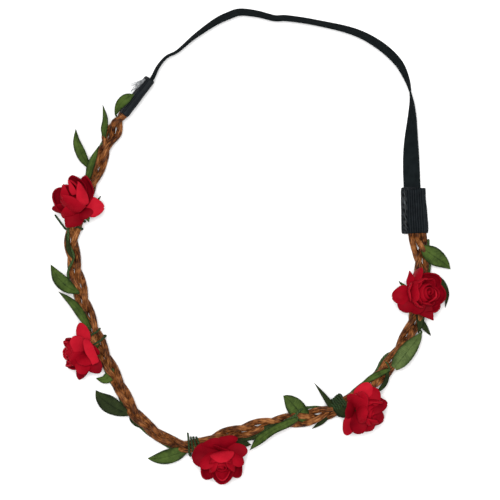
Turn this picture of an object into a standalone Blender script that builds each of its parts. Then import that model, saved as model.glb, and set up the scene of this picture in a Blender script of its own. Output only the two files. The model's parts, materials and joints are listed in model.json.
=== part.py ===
"""Flower crown lying flat, in metres, +Z up.

Three cords are plaited loosely and held side by side in a ribbon cuff at each end.
A leaf vine winds round the plait, five roses are held on by their own paper-covered
wires, and a flat elastic strap joins the two cuffs across the back.
"""
import math

import bmesh
import bpy
from mathutils import Matrix, Quaternion, Vector

# ---- Driving dimensions, metres ----
LOOP_WIDTH = 0.157            # across the plait, side to side
LOOP_LENGTH = 0.207           # strap at the back to the plait's route scale at the front
FIT_GAP = 0.0003              # clearance wherever two pieces rest on each other
CORD_RADIUS = 0.00115
CORD_SPACING = 2 * CORD_RADIUS + FIT_GAP + 0.0001
PLAIT_SWING = 0.778 * CORD_SPACING    # how far a cord's centre moves to either side
PLAIT_RISE = 0.852 * CORD_SPACING     # how far it moves up and down
PLAIT_PITCH = 0.040           # one cord's full side-to-side-and-back
VINE_RADIUS = 0.0005
WIRE_RADIUS = 0.00045
PLAIT_HEIGHT = 0.0065         # plait centre above the table
STRAP_WIDTH = 0.0075
STRAP_THICKNESS = 0.0009
CUFF_LENGTH = 0.020
CUFF_WALL = 0.00085
CUFF_FOLD = 0.0002            # extra wall where the ribbon folds round each edge
CUFF_ROOM = 0.00085           # beside the widest thing inside, on each side
CUFF_WIDTH = max(STRAP_WIDTH, 2 * CORD_SPACING + 2 * CORD_RADIUS) + 2 * (CUFF_ROOM + CUFF_WALL + CUFF_FOLD)
SLOT_ROOM = 0.304 * CORD_RADIUS       # above and below a cord inside the cuff
CUFF_HEIGHT = 2 * (CORD_RADIUS + SLOT_ROOM + CUFF_WALL)
CUFF_ROLL = math.radians(-72) # the left cuff stands nearly on its edge
TUCK = 0.0065                 # length of cord and strap inside each cuff
LEAF_THICKNESS = 0.0005
PETAL_THICKNESS = 0.0006
ROSE_RADIUS = 0.0096          # widest part of the outer petals before they curl back
ROSE_HEIGHT = 0.0118          # base to rim of the outer petals

# Route of the plait from the middle of the left cuff to the middle of the right one,
# and of the strap back again: millimetres at the nominal loop size, with the height.
# Next to a cuff, where cords and strap run straight out of it, the route keeps its own size.
H = PLAIT_HEIGHT * 1000
LEFT_CUFF_Z = 500 * (CUFF_WIDTH * abs(math.sin(CUFF_ROLL)) + CUFF_HEIGHT * math.cos(CUFF_ROLL)) + 0.15
RIGHT_CUFF_Z = 500 * CUFF_HEIGHT
LOW_PLAIT_Z = 1000 * (CORD_RADIUS + 0.785 * PLAIT_RISE)   # where it starts to open, clear of the table
PLAIT_ROUTE = [
    (-49.9, 66.2, LEFT_CUFF_Z), (-56.5, 57.4, LEFT_CUFF_Z), (-61.1, 49.3, H), (-68.1, 32.4, H),
    (-75.9, 14.3, H), (-78.3, 0.8, H), (-75.2, -16.5, H), (-71.1, -30.6, H), (-65.3, -44.7, H),
    (-58.3, -58.7, H), (-50.6, -72.7, H), (-38.6, -83.2, H), (-26, -87.2, H), (-9.2, -81.8, H),
    (6.8, -77.9, H), (20.9, -75.5, H), (34.8, -71.9, H), (49.1, -63.1, H), (60.5, -52.1, H),
    (70, -36.9, H), (73.9, -23.1, H), (75, -9.0, 0.94 * H), (73.8, 2.5, LOW_PLAIT_Z),
    (72.8, 9.0, RIGHT_CUFF_Z), (71.9, 16.1, RIGHT_CUFF_Z),
]
# Strap route: x, y, and the roll of its flat face in degrees (0 lies flat, 90 is on edge).
STRAP_ROUTE = [
    (71.9, 16.1, 0), (71.1, 26.0, 0), (70.7, 36.0, 10), (70.6, 46.0, 35), (71.0, 59.0, 62),
    (70.3, 67.5, 86), (68.2, 75.2, 112), (64.3, 82.2, 128), (55.9, 89.6, 126), (44.7, 95.3, 122),
    (28.0, 98.9, 116), (13.8, 100.9, 112), (0.0, 102.6, 118), (-7.0, 102.4, 124), (-15.6, 99.0, 120),
    (-24.6, 92.4, 108), (-32.3, 86.0, 104), (-38.2, 81.2, 105), (-43.9, 74.2, 108), (-49.9, 66.2, 108),
]
# The vine's place round the plait: fraction along, and angle (0 outside, 90 on top, 180 inside).
VINE_TURNS = [
    (0.034, -90), (0.052, -25), (0.075, 0), (0.220, 0), (0.262, 35), (0.300, 0), (0.575, 0),
    (0.622, 60), (0.650, 100), (0.676, 180), (0.790, 180), (0.820, 270), (0.850, 360), (0.964, 360),
]
# Each leaf: fraction along the vine, side of the vine it sits on (deg, 0 outside, 90 on top),
# tip from base (mm along the plait, outward, up), width (mm), roll (deg), arch (mm).
LEAVES = {
    "vine_leaf_01_cuff": (0.048, 0, (-15.0, 2.4, 4.8), 5.4, 72, 0.5),
    "vine_leaf_02": (0.066, 0, (-12.4, 5.3, 3.5), 4.6, 35, 0.5),
    "vine_leaf_03_under": (0.036, 180, (5.6, -6.1, -0.5), 4.2, 0, 0.0),
    "vine_leaf_04": (0.106, 0, (-13.9, 10.1, 3.0), 5.5, 20, 1.0),
    "vine_leaf_05": (0.118, 90, (-13.5, 0.5, 4.0), 3.4, 30, 1.8),
    "vine_leaf_06_broad": (0.262, 45, (-13.8, 6.3, 0.5), 6.6, 0, 1.2),
    "vine_leaf_07": (0.305, 60, (-16.8, 4.0, 1.6), 5.0, 30, 1.4),
    "vine_leaf_08_small": (0.385, 0, (-3.1, 4.7, -3.0), 4.0, 0, 0.3),
    "vine_leaf_09_wide": (0.440, -60, (-18.8, 2.3, -3.8), 9.4, 0, -2.0),
    "vine_leaf_10": (0.508, -70, (-15.0, 4.2, -2.6), 6.6, 0, -0.6),
    "vine_leaf_11_inside": (0.678, 180, (-10.1, -7.4, 1.0), 7.0, 0, 1.0),
    "vine_leaf_12_over": (0.650, 90, (-20.2, 8.1, -3.5), 4.4, 0, 3.4),
    "vine_leaf_13_spike": (0.702, 150, (-3.7, -9.9, 3.0), 3.6, 70, 0.5),
    "vine_leaf_14": (0.782, 90, (-11.1, -1.8, 4.4), 3.6, 20, 2.2),
    "vine_leaf_15_over": (0.852, 40, (-20.2, -7.3, 5.9), 7.0, 0, 4.6),
    "vine_leaf_16": (0.864, -20, (-5.4, 5.2, -3.0), 4.2, 0, 0.3),
    "vine_leaf_17_broad": (0.952, -50, (-11.2, 6.5, -2.5), 8.4, 8, -0.4),
    "vine_leaf_18": (0.905, -50, (-11.5, 6.9, -1.6), 5.0, 25, -0.4),
}
# Leaves that start beside a rose's wire, and their distance from the rose along the plait, mm.
LEAF_BESIDE = {"vine_leaf_16": ("rose_5", -10.1), "vine_leaf_18": ("rose_5", 4.2)}
# Each rose: fraction along, angle round the plait, stand-off from the cords (mm), heading (deg
# from outward), lean from upright (deg), run of wire before it wraps (mm), turns, pitch (mm), and
# the free tail (mm along the plait, outward, up).
ROSES = {
    "rose_1": (0.158, 107, 3.07, -26.5, 45, 4.0, 1.6, 4.2, (-6.0, 6.2, -1.0)),
    "rose_2": (0.340, 40, 3.07, -21.8, 76, -2.0, 2.1, -4.6, (-1.0, -4.2, 1.5)),
    "rose_3": (0.554, 52, 3.27, -22.0, 60, -9.0, 2.6, -2.4, (-0.6, -4.6, 0.6)),
    "rose_4": (0.726, 60, 3.27, 42.2, 58, -1.5, 2.1, -2.4, (-2.2, -2.3, 1.8)),
    "rose_5": (0.893, 118, 3.47, 11.6, 32, -5.5, 2.1, -2.4, (0.1, -4.8, 1.0)),
}
PETAL_PHASE = {"rose_1": 20, "rose_2": 55, "rose_3": 0, "rose_4": 35, "rose_5": 80}


# ---- Routes ----
def smooth(points, per_span=8):
    """Catmull-Rom curve through the points."""
    pts = [Vector(p) for p in points]
    pts = [2 * pts[0] - pts[1]] + pts + [2 * pts[-1] - pts[-2]]
    out = []
    for i in range(1, len(pts) - 2):
        a, b, c, d = pts[i - 1:i + 3]
        for k in range(per_span):
            t = k / per_span
            out.append(0.5 * (2 * b + (c - a) * t + (2 * a - 5 * b + 4 * c - d) * t ** 2
                              + (3 * b - a - 3 * c + d) * t ** 3))
    out.append(pts[-2])
    return out


class Route:
    """A curve that can be read by length."""

    def __init__(self, points):
        self.points = points
        self.marks = [0.0]
        for a, b in zip(points, points[1:]):
            self.marks.append(self.marks[-1] + (b - a).length)
        self.length = self.marks[-1]

    def at(self, s):
        s = min(max(s, 0.0), self.length)
        i = 1
        while i < len(self.marks) - 1 and self.marks[i] < s:
            i += 1
        span = self.marks[i] - self.marks[i - 1]
        return self.points[i - 1].lerp(self.points[i], (s - self.marks[i - 1]) / span)

    def frame(self, s):
        """Point, direction along, direction outward, direction up."""
        along = (self.at(s + 0.0015) - self.at(s - 0.0015)).normalized()
        outward = along.cross(Vector((0, 0, 1))).normalized()
        return self.at(s), along, outward, outward.cross(along).normalized()


def scaled(x, y, z):
    """A route point at the loop's size, or at its own distance from a cuff it is next to."""
    wide, long = LOOP_WIDTH / 157, LOOP_LENGTH / 207
    for cx, cy in (PLAIT_ROUTE[0][:2], PLAIT_ROUTE[-1][:2]):
        if math.hypot(x - cx, y - cy) < CUFF_REACH * 1000:
            return Vector((cx * wide + (x - cx) / 1000, cy * long + (y - cy) / 1000, z / 1000))
    return Vector((x * wide, y * long, z / 1000))


def ease(t):
    t = min(max(t, 0.0), 1.0)
    return t * t * (3 - 2 * t)


def between(knots, f):
    """Smooth interpolation in a list of (position, value)."""
    if f <= knots[0][0]:
        return knots[0][1]
    for (a, va), (b, vb) in zip(knots, knots[1:]):
        if f <= b:
            return va + (vb - va) * ease((f - a) / (b - a))
    return knots[-1][1]


CUFF_HALF = CUFF_LENGTH / 2
CUFF_REACH = CUFF_HALF + 0.005        # how far from a cuff's middle it holds the route straight
plait = Route(smooth([scaled(*p) for p in PLAIT_ROUTE]))
SIDE_BY_SIDE = CUFF_HALF + 0.0025     # the cords stay side by side this far from each end
SPREAD = 0.006                        # and take this long to fall into the plait
LEAD = 0.003                          # they start to rise and dip a little before that
RAMP = 0.006
BRAIDED = plait.length - 2 * SIDE_BY_SIDE
CROSSINGS = round(3 * BRAIDED / PLAIT_PITCH)
FIRST_PHASE = math.radians(60)        # the plait starts and ends with one cord in the middle


def roll_at(s):
    return CUFF_ROLL * (1 - ease((s - SIDE_BY_SIDE) / 0.022))


def cord_phase(index, s):
    return FIRST_PHASE + 2 * math.pi * (CROSSINGS * (s - SIDE_BY_SIDE) / BRAIDED + index) / 3


def row_order(s):
    """Places of the cords side by side, in the order the plait leaves them."""
    order = sorted(range(3), key=lambda i: math.sin(cord_phase(i, s)))
    return {index: place - 1 for place, index in enumerate(order)}


LEFT_ROW = row_order(SIDE_BY_SIDE)
RIGHT_ROW = row_order(plait.length - SIDE_BY_SIDE)


def cord_point(index, s):
    """Centre of one of the three cords at a length along the plait."""
    centre, _, outward, up = plait.frame(s)
    phase = cord_phase(index, s)
    near_end = min(s, plait.length - s)
    mix = ease((near_end - SIDE_BY_SIDE) / SPREAD)
    row = LEFT_ROW if s < plait.length / 2 else RIGHT_ROW
    side = PLAIT_SWING * math.sin(phase) * mix + row[index] * CORD_SPACING * (1 - mix)
    rise = -PLAIT_RISE * math.sin(2 * phase) * ease((near_end - SIDE_BY_SIDE + LEAD) / RAMP)
    roll = roll_at(s)
    return (centre + outward * (side * math.cos(roll) - rise * math.sin(roll))
            + up * (side * math.sin(roll) + rise * math.cos(roll)))


PLAIT_REACH = max(math.hypot(PLAIT_SWING * math.sin(a / 20), PLAIT_RISE * math.sin(a / 10))
                  for a in range(64))
VINE_RING = PLAIT_REACH + CORD_RADIUS + FIT_GAP + VINE_RADIUS


def round_plait(s, angle, radius):
    centre, _, outward, up = plait.frame(s)
    a = math.radians(angle)
    return centre + radius * (outward * math.cos(a) + up * math.sin(a))


def vine_point(f):
    return round_plait(f * plait.length, between(VINE_TURNS, f), VINE_RING)


def samples(start, end, step):
    count = max(2, int(round((end - start) / step)))
    return [start + (end - start) * i / count for i in range(count + 1)]


# ---- Scene and materials ----
for old in list(bpy.data.objects):
    bpy.data.objects.remove(old, do_unlink=True)
crown = bpy.data.collections.new("flower_crown")
bpy.context.scene.collection.children.link(crown)


def material(name, colour, roughness):
    mat = bpy.data.materials.new(name)
    mat.use_nodes = True
    shader = mat.node_tree.nodes["Principled BSDF"]
    shader.inputs["Base Color"].default_value = (*colour, 1)
    shader.inputs["Roughness"].default_value = roughness
    return mat


CORD = material("brown_waxed_cord", (0.24, 0.085, 0.03), 0.6)
STEM = material("green_paper_wire", (0.05, 0.09, 0.03), 0.8)
LEAF = material("green_leaf_fabric", (0.10, 0.17, 0.05), 0.7)
PETAL = material("red_petal_foam", (0.42, 0.01, 0.02), 0.65)
RIBBON = material("black_ribbed_ribbon", (0.012, 0.014, 0.018), 0.6)
ELASTIC = material("black_elastic", (0.012, 0.014, 0.017), 0.75)


def add_object(name, mesh, mat, smooth_faces=True):
    obj = bpy.data.objects.new(name, mesh)
    crown.objects.link(obj)
    mesh.materials.append(mat)
    if smooth_faces:
        mesh.polygons.foreach_set("use_smooth", [True] * len(mesh.polygons))
    return obj


def mesh_from(name, verts, faces):
    bm = bmesh.new()
    made = [bm.verts.new(v) for v in verts]
    for face in faces:
        bm.faces.new([made[i] for i in face])
    bmesh.ops.recalc_face_normals(bm, faces=bm.faces)
    mesh = bpy.data.meshes.new(name)
    bm.to_mesh(mesh)
    bm.free()
    return mesh


def rod(name, points, radius, mat, resolution=1):
    """A round cord or wire along the points."""
    curve = bpy.data.curves.new(name, "CURVE")
    curve.dimensions = "3D"
    curve.bevel_depth = radius
    curve.bevel_resolution = resolution
    curve.use_fill_caps = True
    spline = curve.splines.new("POLY")
    spline.points.add(len(points) - 1)
    for slot, p in zip(spline.points, points):
        slot.co = (*p, 1)
    temp = bpy.data.objects.new(name + "_path", curve)
    mesh = bpy.data.meshes.new_from_object(temp)
    bpy.data.objects.remove(temp)
    bpy.data.curves.remove(curve)
    bm = bmesh.new()
    bm.from_mesh(mesh)
    bmesh.ops.remove_doubles(bm, verts=bm.verts, dist=1e-6)
    bmesh.ops.recalc_face_normals(bm, faces=bm.faces)
    bm.to_mesh(mesh)
    bm.free()
    mesh.name = name
    return add_object(name, mesh, mat)


def solidify(obj, thickness, offset):
    mod = obj.modifiers.new("thickness", "SOLIDIFY")
    mod.thickness = thickness
    mod.offset = offset
    mod.use_even_offset = True
    return mod


# ---- Cords and vine ----
def filled(points, parts=7):
    """The same straight runs with points in between."""
    return [a.lerp(b, k / parts) for a, b in zip(points, points[1:]) for k in range(parts)]


cord_paths = []
for index, letter in enumerate("abc"):
    stations = samples(CUFF_HALF - TUCK, plait.length - CUFF_HALF + TUCK, 0.0038)
    cord_line = [cord_point(index, s) for s in stations]
    rod("cord_" + letter, cord_line, CORD_RADIUS, CORD)
    cord_paths.append(filled(cord_line))

VINE_START, VINE_END = VINE_TURNS[0][0], VINE_TURNS[-1][0]
vine_line = [vine_point(f) for f in samples(VINE_START, VINE_END, 0.0038 / plait.length)]
rod("vine_stem", vine_line, VINE_RADIUS, STEM)
vine_path = filled(vine_line)


def vine_at(f):
    """Point on the vine as it is built."""
    x = (f - VINE_START) / (VINE_END - VINE_START) * (len(vine_line) - 1)
    i = min(int(x), len(vine_line) - 2)
    return vine_line[i].lerp(vine_line[i + 1], x - i)


# ---- Leaves ----
def leaf(name, f, seat, tip, width, roll, arch):
    """A pointed leaf, a thin sheet folded slightly along its midrib, seated on the vine."""
    _, forward, outward, up = plait.frame(f * plait.length)
    seat = math.radians(seat)
    away = outward * math.cos(seat) + up * math.sin(seat)
    start = vine_at(f) + away * (VINE_RADIUS + FIT_GAP + LEAF_THICKNESS / 2)
    tip = start + Matrix((forward, outward, up)).transposed() @ Vector(tip) / 1000
    middle = (start + tip) / 2 + Vector((0, 0, 2 * arch / 1000))
    fold = 0.15 if seat >= 0 else -0.15
    rows = 7
    half = [-1.0, 0.0, 1.0]
    verts = []
    for i in range(rows):
        t = i / (rows - 1)
        spine = (1 - t) ** 2 * start + 2 * t * (1 - t) * middle + t ** 2 * tip
        along = ((1 - t) * (middle - start) + t * (tip - middle)).normalized()
        across = along.cross(Vector((0, 0, 1))).normalized()
        across = Quaternion(along, math.radians(roll)) @ across
        lift = across.cross(along).normalized()
        reach = width / 2000 * max(math.sin(math.pi * t ** 0.9) ** 0.8 if 0 < t < 1 else 0, 0.07)
        for h in half:
            verts.append(spine + across * (h * reach) + lift * (abs(h) * reach * fold))
    faces = []
    for i in range(rows - 1):
        for j in range(2):
            a = i * 3 + j
            faces.append((a, a + 1, a + 4, a + 3))
    obj = add_object(name, mesh_from(name, verts, faces), LEAF)
    solidify(obj, LEAF_THICKNESS, 0.0)


for leaf_name, spec in LEAVES.items():
    where = spec[0]
    if leaf_name in LEAF_BESIDE:
        rose, distance = LEAF_BESIDE[leaf_name]
        where = ROSES[rose][0] + distance / 1000 / plait.length
    leaf(leaf_name, where, *spec[1:])


# ---- Roses ----
def profile_point(profile, v):
    """Point at a fraction of a profile given as (radius, height)."""
    x = v * (len(profile) - 1)
    i = min(int(x), len(profile) - 2)
    t = x - i
    return (profile[i][0] * (1 - t) + profile[i + 1][0] * t,
            profile[i][1] * (1 - t) + profile[i + 1][1] * t)


def whorl(name, profile, petals, notch, phase, per_petal, rings, thickness, mat, place):
    """A ring of petals joined at the base, cut in between its neighbours."""
    count = petals * per_petal
    verts = [Vector((0, 0, profile[0][1]))]
    for k in range(1, rings + 1):
        for j in range(count):
            a = 2 * math.pi * j / count
            lobe = abs(math.cos(petals * a / 2)) ** 0.6
            reach = (k / rings) * (1 - notch * (1 - lobe) * (k / rings))
            r, z = profile_point(profile, reach)
            turn = a + math.radians(phase)
            verts.append(Vector((r * math.cos(turn), r * math.sin(turn), z)))
    faces = [(0, 1 + j, 1 + (j + 1) % count) for j in range(count)]
    for k in range(rings - 1):
        for j in range(count):
            a = 1 + k * count
            b = a + count
            faces.append((a + j, b + j, b + (j + 1) % count, a + (j + 1) % count))
    mesh = mesh_from(name, verts, faces)
    obj = add_object(name, mesh, mat)
    obj.matrix_world = place
    solidify(obj, thickness, 0.0)
    return obj


def rolled_bud(name, base, height, inner, outer, turns, phase, place):
    """A petal strip rolled into a bud, open in a spiral at its mouth."""
    steps = 18
    heights = (0.0, 0.45, 0.8, 1.0)
    waist = (0.62, 1.0, 0.92, 0.66)
    verts = []
    for i in range(steps + 1):
        t = i / steps
        a = math.radians(phase) + 2 * math.pi * turns * t
        r = inner + (outer - inner) * t
        drop = height * 0.16 * t
        for h, w in zip(heights, waist):
            z = base + (height - drop) * h
            verts.append(Vector((r * w * math.cos(a), r * w * math.sin(a), z)))
    faces = []
    for i in range(steps):
        for j in range(3):
            a = i * 4 + j
            faces.append((a, a + 4, a + 5, a + 1))
    obj = add_object(name, mesh_from(name, verts, faces), PETAL)
    obj.matrix_world = place
    solidify(obj, PETAL_THICKNESS * 0.8, 0.0)


R = ROSE_RADIUS
T = ROSE_HEIGHT
BASE = 0.0015                 # wire tip to the middle of the outer petals' base
OUTER = [(0, BASE), (0.40 * R, BASE + 0.08 * T), (0.72 * R, BASE + 0.30 * T), (0.88 * R, BASE + 0.62 * T),
         (1.0 * R, BASE + 0.90 * T), (1.15 * R, BASE + 0.99 * T)]
LIFT = PETAL_THICKNESS + FIT_GAP
INNER = [(0, BASE + LIFT), (0.28 * R, BASE + LIFT + 0.07 * T), (0.52 * R, BASE + LIFT + 0.26 * T),
         (0.66 * R, BASE + LIFT + 0.62 * T), (0.66 * R, BASE + LIFT + 0.98 * T)]
SEPALS = [(0, BASE - LIFT), (0.40 * R, BASE - LIFT + 0.07 * T), (0.72 * R + LIFT, BASE - LIFT + 0.27 * T)]


def hug(s, angle, obstacles):
    """Tightest ring round the plait at this place that has everything inside it."""
    reach = 0.009
    step = 0.00008
    while reach > CORD_RADIUS:
        p = round_plait(s, angle, reach - step)
        if any((p - q).length < gap for path, gap in obstacles for q in path):
            return reach
        reach -= step
    return reach


def near(path, point, window):
    return [q for q in path if (q - point).length < window]


def rose_wire(name, place, s, angle, run, turns, pitch, tail):
    """Wire from under the rose to the plait, then round it, ending in a free tail."""
    tip = place.to_translation()
    axis = place.to_3x3() @ Vector((0, 0, 1))
    centre = plait.at(s + (run + pitch * turns / 2) / 1000)
    window = 0.018 + abs(run + pitch * turns) / 1000
    need = WIRE_RADIUS + FIT_GAP * 1.1
    obstacles = [(near(path, centre, window), need + CORD_RADIUS) for path in cord_paths]
    obstacles.append((near(vine_path, centre, window), need + VINE_RADIUS))
    per_turn = 16
    finer = 3
    run_steps = 3 * max(1, round(abs(run) / 2.4))
    wraps = [(s + run * i / run_steps / 1000, angle) for i in range(run_steps + 1)]
    for i in range(1, int(turns * per_turn) * finer + 1):
        wraps.append((s + (run + pitch * i / per_turn / finer) / 1000, angle + 360 * i / per_turn / finer))
    rings = [hug(*w, obstacles) for w in wraps]
    wide = [max(rings[max(0, i - 2 * finer):i + 2 * finer + 1]) for i in range(0, len(rings), finer)]
    even = [sum(wide[max(0, i - 1):i + 2]) / len(wide[max(0, i - 1):i + 2]) for i in range(len(wide))]
    chord = 1 / math.cos(math.pi / per_turn)
    wraps = wraps[::finer]
    coil = [round_plait(w[0], w[1], r * chord) for w, r in zip(wraps, even)]
    neck = tip - axis * 0.0012
    end = coil[-1]
    _, along, outward, up = plait.frame(wraps[-1][0])
    tail = Matrix((along, outward, up)).transposed() @ Vector(tail) / 1000
    path = smooth([tip, neck, (neck + coil[0]) / 2, coil[0]], 2)[:-1] + coil
    path += [end + tail * 0.35, end + tail]
    rod(name, path, WIRE_RADIUS, STEM)


for rose, spec in ROSES.items():
    f, angle, standoff, heading, lean, run, turns, pitch, tail = spec
    s = f * plait.length
    pivot = round_plait(s, angle, PLAIT_REACH + CORD_RADIUS + standoff / 1000)
    _, _, outward, _ = plait.frame(s)
    heading = math.radians(heading) + math.atan2(outward.y, outward.x)
    turn = Matrix.Rotation(heading, 4, "Z") @ Matrix.Rotation(math.radians(lean), 4, "Y")
    place = Matrix.Translation(pivot) @ turn
    phase = PETAL_PHASE[rose]
    rose_wire(rose + "_wire", place, s, angle, run, turns, pitch, tail)
    whorl(rose + "_calyx", SEPALS, 5, 0.62, phase + 36, 3, 3, LEAF_THICKNESS, STEM, place)
    whorl(rose + "_outer_petals", OUTER, 5, 0.30, phase, 4, 5, PETAL_THICKNESS, PETAL, place)
    whorl(rose + "_inner_petals", INNER, 3, 0.22, phase + 50, 5, 4, PETAL_THICKNESS, PETAL, place)
    rolled_bud(rose + "_bud", BASE + 2 * LIFT + 0.13 * T, 0.98 * T, 0.09 * R, 0.50 * R, 1.6, phase, place)


# ---- Cuffs and strap ----
def rounded_box(half_width, half_height, corner, steps=3):
    loop = []
    for cx, cy, start in ((1, 1, 0), (-1, 1, 90), (-1, -1, 180), (1, -1, 270)):
        for k in range(steps + 1):
            a = math.radians(start + 90 * k / steps)
            loop.append((cx * (half_width - corner) + corner * math.cos(a),
                         cy * (half_height - corner) + corner * math.sin(a)))
    return loop


def cuff(name, s, roll):
    """A flattened ribbon sleeve, open at both ends."""
    centre, along, outward, up = plait.frame(s)
    along = Vector((along.x, along.y, 0)).normalized()
    up = Vector((0, 0, 1))
    across = outward * math.cos(roll) + up * math.sin(roll)
    upright = up * math.cos(roll) - outward * math.sin(roll)
    outer = rounded_box(CUFF_WIDTH / 2, CUFF_HEIGHT / 2, 0.0012)
    inner = rounded_box(CUFF_WIDTH / 2 - CUFF_WALL - CUFF_FOLD, CUFF_HEIGHT / 2 - CUFF_WALL, 0.0008)
    verts = []
    for loop in (outer, inner):
        for end in (-1, 1):
            verts += [Vector((x, end * CUFF_LENGTH / 2, y)) for x, y in loop]
    n = len(outer)
    faces = []
    for j in range(n):
        k = (j + 1) % n
        faces.append((j, k, n + k, n + j))
        faces.append((2 * n + j, 3 * n + j, 3 * n + k, 2 * n + k))
        faces.append((j, 2 * n + j, 2 * n + k, k))
        faces.append((n + j, n + k, 3 * n + k, 3 * n + j))
    obj = add_object(name, mesh_from(name, verts, faces), RIBBON, smooth_faces=False)
    turn = Matrix((across, along, upright)).transposed()
    obj.matrix_world = Matrix.Translation(centre) @ turn.to_4x4()


cuff("left_cuff", 0.0, CUFF_ROLL)
cuff("right_cuff", plait.length, 0.0)


def strap():
    """Flat elastic from cuff to cuff, twisted along its length."""
    route = []
    for x, y, roll in STRAP_ROUTE:
        on_table = 500 * (STRAP_WIDTH * abs(math.sin(math.radians(roll))) + STRAP_THICKNESS) + 0.1
        route.append(scaled(x, y, on_table))
    last = len(route) - 1
    seated = CUFF_HEIGHT / 2 - CUFF_WALL - FIT_GAP - STRAP_THICKNESS / 2   # on the cuff's inner face
    for i in (0, 1):
        route[i].z = RIGHT_CUFF_Z / 1000 - seated
    route[2].z = 0.0021
    _, _, outward, _ = plait.frame(0)
    for i in (last, last - 1):
        route[i].z = LEFT_CUFF_Z / 1000
        route[i] += (outward * math.sin(CUFF_ROLL) - Vector((0, 0, math.cos(CUFF_ROLL)))) * seated
    route[last - 2].z = 0.0056
    route[last - 3].z = 0.0048
    path = Route(smooth(route))
    rolls = []
    length = 0.0
    for i, p in enumerate(route):
        length += (p - route[i - 1]).length if i else 0.0
        rolls.append((length, STRAP_ROUTE[i][2]))
    stretch = path.length / length
    rolls = [(a * stretch, b) for a, b in rolls]
    section = rounded_box(STRAP_WIDTH / 2, STRAP_THICKNESS / 2, 0.0002, 1)
    stations = samples(CUFF_HALF - TUCK, path.length - CUFF_HALF + TUCK, 0.0042)
    verts = []
    for s in stations:
        point, along, _, _ = path.frame(s)
        flat = along.cross(Vector((0, 0, 1))).normalized()
        up = flat.cross(along).normalized()
        a = math.radians(between(rolls, s))
        across = flat * math.cos(a) + up * math.sin(a)
        face = up * math.cos(a) - flat * math.sin(a)
        verts += [point + across * x + face * y for x, y in section]
    n = len(section)
    faces = [tuple(range(n)), tuple(range(len(verts) - n, len(verts)))]
    for i in range(len(stations) - 1):
        for j in range(n):
            k = (j + 1) % n
            faces.append((i * n + j, i * n + k, (i + 1) * n + k, (i + 1) * n + j))
    add_object("elastic_strap", mesh_from("elastic_strap", verts, faces), ELASTIC, smooth_faces=False)


strap()
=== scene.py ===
"""Looks of the flower crown: plaited cord, leaf vine, foam roses, ribbon cuffs and elastic strap."""
import json
import math

import bmesh
import bpy
import numpy as np
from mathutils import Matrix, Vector, noise


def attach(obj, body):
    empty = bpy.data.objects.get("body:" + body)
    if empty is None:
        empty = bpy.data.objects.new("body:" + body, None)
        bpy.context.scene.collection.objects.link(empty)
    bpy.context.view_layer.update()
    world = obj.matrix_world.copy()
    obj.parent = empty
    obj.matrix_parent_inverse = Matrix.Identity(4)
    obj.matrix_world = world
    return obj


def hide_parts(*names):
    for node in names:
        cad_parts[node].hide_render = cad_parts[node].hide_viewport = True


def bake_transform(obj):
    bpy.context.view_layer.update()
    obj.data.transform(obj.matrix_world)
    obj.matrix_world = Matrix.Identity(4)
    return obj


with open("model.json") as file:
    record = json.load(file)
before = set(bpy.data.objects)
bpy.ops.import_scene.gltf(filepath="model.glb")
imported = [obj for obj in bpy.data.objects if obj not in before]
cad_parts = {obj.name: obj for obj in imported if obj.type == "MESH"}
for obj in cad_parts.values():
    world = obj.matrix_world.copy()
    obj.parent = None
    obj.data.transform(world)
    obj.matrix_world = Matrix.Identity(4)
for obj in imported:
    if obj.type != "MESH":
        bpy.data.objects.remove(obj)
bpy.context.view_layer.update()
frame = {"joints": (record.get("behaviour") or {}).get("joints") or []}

MM = 0.001
ROOT = "braid_band"
JOINTS = {j["name"]: j for j in frame["joints"]}


# ---------------------------------------------------------------- small tools
def ease(t):
    t = np.clip(t, 0.0, 1.0)
    return t * t * (3 - 2 * t)


def unit(v):
    v = np.asarray(v, float)
    return v / np.maximum(np.linalg.norm(v, axis=-1, keepdims=True), 1e-12)


def spline(rows, count, dense_ends=False):
    """Catmull-Rom through rows of numbers."""
    p = np.array(rows, float)
    p = np.vstack([2 * p[0] - p[1], p, 2 * p[-1] - p[-2]])
    t = np.linspace(0, 1, count)
    if dense_ends:
        t = (1 - np.cos(np.pi * t)) / 2
    t = t * (len(rows) - 1)
    i = np.minimum(t.astype(int), len(rows) - 2)
    f = (t - i)[:, None]
    a, b, c, d = p[i], p[i + 1], p[i + 2], p[i + 3]
    return 0.5 * (2 * b + (c - a) * f + (2 * a - 5 * b + 4 * c - d) * f ** 2
                  + (3 * b - a - 3 * c + d) * f ** 3)


# Where the noise is read for x, y and z. noise.noise_vector isn't used: it differs from run to run.
NOISE_SHIFTS = (Vector((9.3, -1.5, -8.0)), Vector((0.0, 0.0, 0.0)), Vector((6.3, 0.2, -2.7)))


def wobble(points, scale, size, seed):
    """Smooth random offsets, the same each run."""
    out = np.array(points, float)
    for k, p in enumerate(out):
        q = Vector(p) * scale + Vector((seed * 7.3, seed * 3.1, seed * 1.7))
        out[k] = p + size * np.array([noise.noise(q + shift) for shift in NOISE_SHIFTS])
    return out


class Route:
    """A curve read by its length."""

    def __init__(self, points):
        self.points = np.array(points, float)
        steps = np.linalg.norm(np.diff(self.points, axis=0), axis=1)
        self.marks = np.concatenate([[0], np.cumsum(steps)])
        self.length = self.marks[-1]

    def at(self, s):
        s = np.clip(s, 0, self.length)
        return np.stack([np.interp(s, self.marks, self.points[:, k]) for k in range(3)], -1)

    def frame(self, s):
        along = unit(self.at(s + 0.0015) - self.at(s - 0.0015))
        outward = unit(np.cross(along, (0, 0, 1)))
        return self.at(s), along, outward, unit(np.cross(outward, along))


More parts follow.
